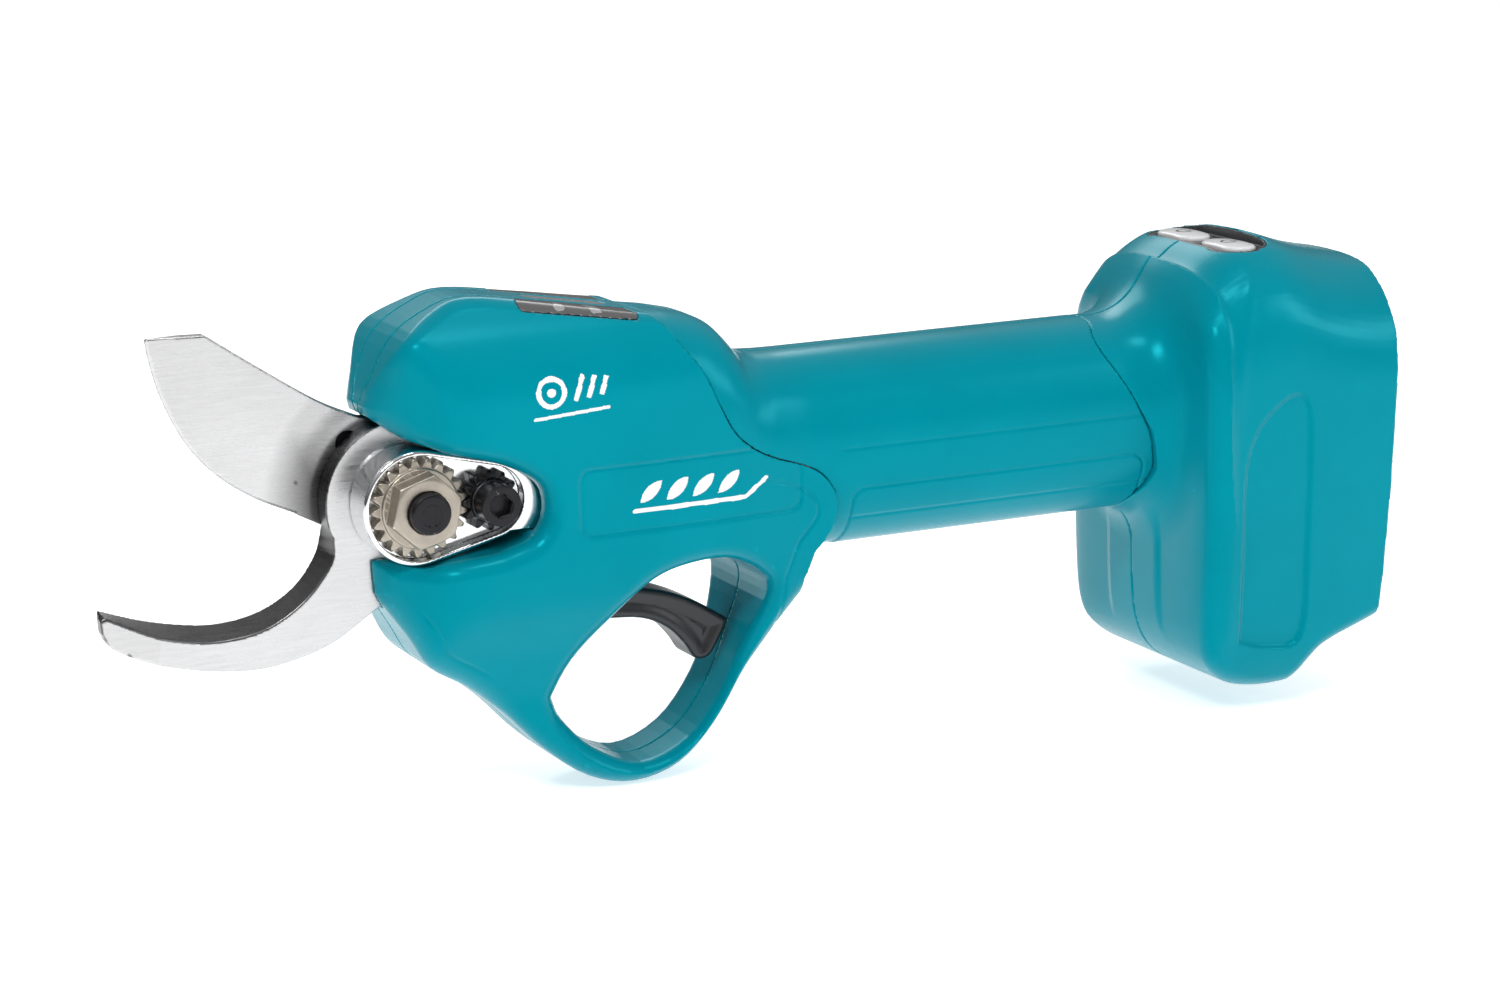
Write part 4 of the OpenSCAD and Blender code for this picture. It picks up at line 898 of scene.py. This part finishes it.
def counter_field(x, y, z):
    t = np.clip(-y / 6, 0, 1)
    side = JAW_FAR(x, z) * (1 - t) + JAW_NEAR(x, z) * t
    thin = np.clip((-155.5 - x) * 0.16, 0, 2.6) + np.clip((-155.5 - x + 0.25 * (z - 50)) * 0.02, 0, 0.3)
    f = round_max(side, np.maximum(y, -6 + thin - y), 0.45)
    about = np.hypot(x - PIVOT_X, z - AXIS_Z)
    f = np.maximum(f, BOLT_R + 0.05 - about)
    return np.maximum(f, -np.maximum(np.hypot(y, z - AXIS_Z) - 8.6, np.abs(x + 68) - 8))


def blade_field(x, y, z):
    about = np.hypot(x - PIVOT_X, z - AXIS_Z)
    hollow = 0.45 * step(24.6, about, 6.5) + 0.04
    toward_edge = EDGE(x, z)
    grind = np.clip(9 - toward_edge, 0, 9) / 9
    far = 4.0 - 2.9 * grind * step(22, about, 8)
    f = round_max(BLADE(x, z), np.maximum(hollow - y, y - far), 0.35)
    glint = (hollow + 0.5 - y) * 0.8 + (0.75 - toward_edge) * 0.6 - 0.35
    f = np.where(about > 20, np.maximum(f, glint), f)
    f = np.maximum(f, 6.42 - about)
    return np.maximum(f, 3.0 - np.hypot(x - HUB_HOLE_X, z - HUB_HOLE_Z))


def hub_plug(x, y, z):
    """The black plug in the small hole beside the blade's hub."""
    return round_max(np.hypot(x - HUB_HOLE_X, z - HUB_HOLE_Z) - 2.98, np.abs(y - 2.6) - 1.3, 0.3)


def build_cutting_head():
    sculpt("gear_case_plate", case_plate, (-108.6, -17.4, 63), (-53, -5.8, 92), 0.3, "main_body",
           "polished_aluminium", ["gear_case"])
    sculpt("gear_case_barrel", case_rear, (-109, -21, 56), (-31, 21, 99), 0.5, "main_body",
           "polished_aluminium", ["gear_case"])
    sculpt("adjusting_nut_body", nut_field, (-107.5, -23.6, 64), (-80.5, -12.8, 91), 0.24, "main_body",
           "bronze", ["adjusting_nut"])
    sculpt("pivot_bolt_body", bolt_field, (-103, -26, 69), (-85, 24.5, 86), 0.3, "main_body", "black_steel",
           ["pivot_bolt"])
    sculpt("lock_gear_body", lock_gear_field, (-84.4, -19.2, 69), (-68, -12.8, 86), 0.2, "main_body",
           "black_steel", ["lock_gear"])
    sculpt("lock_screw", lock_bolt_field, (-82, -25, 72), (-70.6, -5.6, 83), 0.22, "main_body", "black_steel",
           ["lock_bolt"])
    hook = sculpt("counter_blade_hook", counter_field, (-171, -6.6, 39.5), (-73, 0.6, 99), (0.45, 0.35, 0.45),
                  "main_body", "blade_steel", ["counter_blade"])
    # The hook's material paints shade on its slope that faces up.
    hook.data.materials[0] = UPSLOPE_SHADE_STEEL
    blade = sculpt("moving_blade", blade_field, (-156, -0.5, 57.5), (-74, 4.6, 123), (0.45, 0.28, 0.45),
                   "blade", "blade_steel", ["upper_blade"])
    # The blade's material paints shade round its hub.
    blade.data.materials[0] = HUB_SHADE_STEEL
    sculpt("blade_hub_plug", hub_plug, (-109.4, 0.6, 87.8), (-101.8, 4.6, 95.4), 0.25, "blade",
           "black_steel", [])


# ---------------------------------------------------------------- trigger and printed marks

PULL_X, PULL_Z = -53.0, 47.5
TRIGGER_HALF = 6.5
trigger_top = spline([(-47, 52.6), (-36, 49), (-26, 46.4), (-17.6, 42.6), (-9.4, 37.4)])
trigger_under = spline([(-10.6, 34.6), (-14.6, 28.6), (-18.6, 28.2), (-21.4, 32.2), (-26, 37), (-33, 40.4),
                        (-44, 41.6)])
LEVER = Outline(np.vstack([trigger_top, trigger_under, [(-53, 43), (-66, 44.4), (-66, 49), (-53, 52)]]),
                0.3, 5)


def trigger_field(x, y, z):
    side = LEVER(x, z)
    waist = 0.9 * bump(side + 4.2, 1.8) * step(-40, x, 10)
    f = round_max(side, np.abs(y) - TRIGGER_HALF + waist, 1.6)
    hub = round_max(np.hypot(x - PULL_X, z - PULL_Z) - 4.6, np.abs(y) - TRIGGER_HALF, 0.5)
    f = np.minimum(f, hub)
    slot_box = np.maximum(np.maximum(np.abs(x + 61.5) - 1.6, np.abs(y) - 2.6), 46.9 - z)
    return np.maximum(np.maximum(f, 2.05 - np.hypot(x - PULL_X, z - PULL_Z)), -slot_box)


def decal(name, shape, outer, lo, hi, proud=0.04):
    """A thin printed mark that follows the surface it lies on, on the tool's left side."""
    def field(x, y, z):
        f = outer(x, y, z)
        return np.maximum(np.maximum(f - proud, -f - 1.1), shape(x, z))
    p, quads, normals = surface_net(field, lo, hi, (0.24, 0.4, 0.24), 2)
    obj = make_mesh(name, p, quads, normals)
    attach(obj, "main_body")
    obj.data.materials.append(PRINT_WHITE)
    return obj


def button_mark(name, y0):
    """A small ring with a gap and a bar, as on any switch."""
    cap = button_field(y0)

    def field(x, y, z):
        u, v = x - PANEL_X, y - y0
        ring = np.maximum(np.abs(np.hypot(u, v) - 1.9) - 0.3,
                          0.75 - np.hypot(u - 2, np.minimum(np.abs(v), 0.4)))
        shape = np.minimum(ring, rod(u, v, (0.8, 0), (2.6, 0), 0.28))
        f = cap(x, y, z)
        return np.maximum(np.maximum(f - 0.03, -f - 0.6), np.maximum(shape, PANEL_Z + 2 - z))
    mark = sculpt(name + "_symbol", field, (PANEL_X - 3, y0 - 3, PANEL_Z + 2),
                  (PANEL_X + 3.4, y0 + 3, PANEL_Z + 4.6), 0.11, name, "white_plastic", [])
    mark.data.materials[0] = DARK_PANEL


def leaf(u, v, length, width):
    """A pointed oval along u."""
    k = (length ** 2 / width - width) / 4
    r = math.hypot(length / 2, k)
    return np.maximum(np.hypot(u, v - k), np.hypot(u, v + k)) - r


def plate_mark(x, z):
    """A sprig of leaves with two bars, the plain mark on the plate."""
    d = np.minimum(rod(x, z, (-42, 72.2), (-12, 72.2), 0.7), rod(x, z, (-12, 72.2), (-6, 76.2), 0.7))
    for i in range(4):
        u, v = turned(x + 37.5 - 7 * i, z - 76.6, 40)
        d = np.minimum(d, leaf(u, v, 8.2, 3.4))
    return d


def motor_mark(x, z):
    """A ring with a bar either side, the plain mark on the head."""
    d = np.abs(np.hypot(x + 62.6, z - 103.4) - 3.3) - 0.75
    d = np.minimum(d, np.hypot(x + 62.6, z - 103.4) - 1.2)
    for i in range(3):
        u, v = turned(x + 55.4 - 3.2 * i, z - 104.0, 70)
        d = np.minimum(d, np.maximum(np.abs(u) - 3.4 + 0.5 * i, np.abs(v) - 0.75))
    return np.minimum(d, rod(x, z, (-67, 97.3), (-48, 98.6), 0.55))


def build_small_parts():
    sculpt("trigger_lever", trigger_field, (-68, -7.4, 26), (-7, 7.4, 54), 0.4, "trigger", "black_plastic",
           ["trigger"])
    button_mark("mode_button", BUTTON_GAP / 2)
    button_mark("power_button", -BUTTON_GAP / 2)
    decal("plate_sprig", plate_mark, head_solid, (-45, -26, 70), (-3, -20, 81))
    for number, (sx, sz) in enumerate(((-55.4, 121.6), (-46.4, 120.3))):
        decal("lens_spot_%d" % number, lambda x, z: rod(x, z, (sx - 0.8, sz), (sx + 0.8, sz), 0.75),
              lambda x, y, z: head_solid(x, y, z) + 0.14, (sx - 3, -22, sz - 2), (sx + 3, -9, sz + 2)
              ).data.materials[0] = PALE_LENS
    decal("head_emblem", motor_mark, head_solid, (-69, -26, 95), (-45, -22, 109.5))


def finish_cad_nodes():
    """Softens the edges of the CAD nodes that still show and gives them their finish."""
    slots = {s["node"]: s["material_slot"] for s in frame["record"]["subparts"]}
    for name, obj in NODES.items():
        mat = MATERIALS[slots[name]]
        obj.data.materials.clear()
        obj.data.materials.append(mat)
        if name in ("terminal_block", "terminal_contacts", "housing_screws", "controller_tray"):
            bevel = obj.modifiers.new("soft_edges", "BEVEL")
            bevel.width = 0.0003
            bevel.segments = 2
            bevel.limit_method = "ANGLE"


# ---------------------------------------------------------------- floor, light and camera

def build_floor():
    reach, under = 6.0, -0.0004
    grid = [(x, y, under) for x in (-reach, reach) for y in (-reach, reach)]
    mesh = bpy.data.meshes.new("floor")
    mesh.from_pydata(grid, [], [(0, 2, 3, 1)])
    mat, tree, shader = new_material("pale_floor")
    tree.links.new(mixed(tree, noise(tree, coordinates(tree), 3), (0.86, 0.86, 0.86), (0.9, 0.9, 0.9)),
                   shader.inputs["Base Color"])
    shader.inputs["Roughness"].default_value = 0.9
    shader.inputs["Emission Color"].default_value = (1, 1, 1, 1)
    shader.inputs["Emission Strength"].default_value = 0.64
    mesh.materials.append(mat)
    floor = bpy.data.objects.new("floor", mesh)
    bpy.context.scene.collection.objects.link(floor)


def softbox(name, where, toward, width, height, power):
    light = bpy.data.lights.new(name, "AREA")
    light.shape = "RECTANGLE"
    light.size, light.size_y = width, height
    light.energy = power
    obj = bpy.data.objects.new(name, light)
    obj.location = where
    obj.rotation_euler = (Vector(toward) - Vector(where)).to_track_quat("-Z", "Y").to_euler()
    bpy.context.scene.collection.objects.link(obj)


def build_light():
    """A pale room that is brightest overhead, with soft lights at front left, above, at right and behind."""
    world = bpy.data.worlds.new("studio")
    world.use_nodes = True
    tree = world.node_tree
    where = tree.nodes.new("ShaderNodeTexCoord")
    parts = tree.nodes.new("ShaderNodeSeparateXYZ")
    ramp = tree.nodes.new("ShaderNodeValToRGB")
    ramp.color_ramp.elements[0].position = 0.0
    ramp.color_ramp.elements[0].color = (0.05, 0.05, 0.052, 1)
    ramp.color_ramp.elements[1].position = 0.8
    ramp.color_ramp.elements[1].color = (0.5, 0.5, 0.5, 1)
    tree.links.new(where.outputs["Generated"], parts.inputs["Vector"])
    tree.links.new(parts.outputs["Z"], ramp.inputs["Fac"])
    tree.links.new(ramp.outputs["Color"], tree.nodes["Background"].inputs["Color"])
    tree.nodes["Background"].inputs["Strength"].default_value = 1.0
    bpy.context.scene.world = world
    middle = (0, 0, 0.08)
    softbox("key", (-0.50, -0.75, 0.95), middle, 0.34, 0.24, 5.8)
    softbox("top", (0.12, -0.42, 1.1), middle, 0.36, 0.2, 2.4)
    softbox("side", (0.80, -0.70, 0.50), middle, 0.2, 0.5, 1.8)
    softbox("back", (0.1, 0.9, 0.8), middle, 0.9, 0.4, 3.5)
    view = bpy.context.scene.view_settings
    view.view_transform = "Standard"


def build_camera():
    """A long lens, ahead of the tool on its left and a little above."""
    turn, rise, roll = math.radians(25), math.radians(12.5), math.radians(1.3)
    ahead = Vector((math.sin(turn) * math.cos(rise), math.cos(turn) * math.cos(rise), -math.sin(rise)))
    right = Vector((math.cos(turn), -math.sin(turn), 0))
    up = right.cross(ahead)
    level, tall = math.cos(roll) * right - math.sin(roll) * up, math.sin(roll) * right + math.cos(roll) * up
    camera = bpy.data.cameras.new("camera")
    camera.lens, camera.sensor_width = 91.2, 36.0
    obj = bpy.data.objects.new("camera", camera)
    place = Matrix((level, tall, -ahead)).transposed().to_4x4()
    place.translation = Vector((-0.3944, -0.8458, 0.2725))
    obj.matrix_world = place
    bpy.context.scene.collection.objects.link(obj)
    bpy.context.scene.camera = obj


build_camera()
build_light()
build_floor()
finish_cad_nodes()
build_head()
build_handle()
build_foot()
build_cutting_head()
build_small_parts()
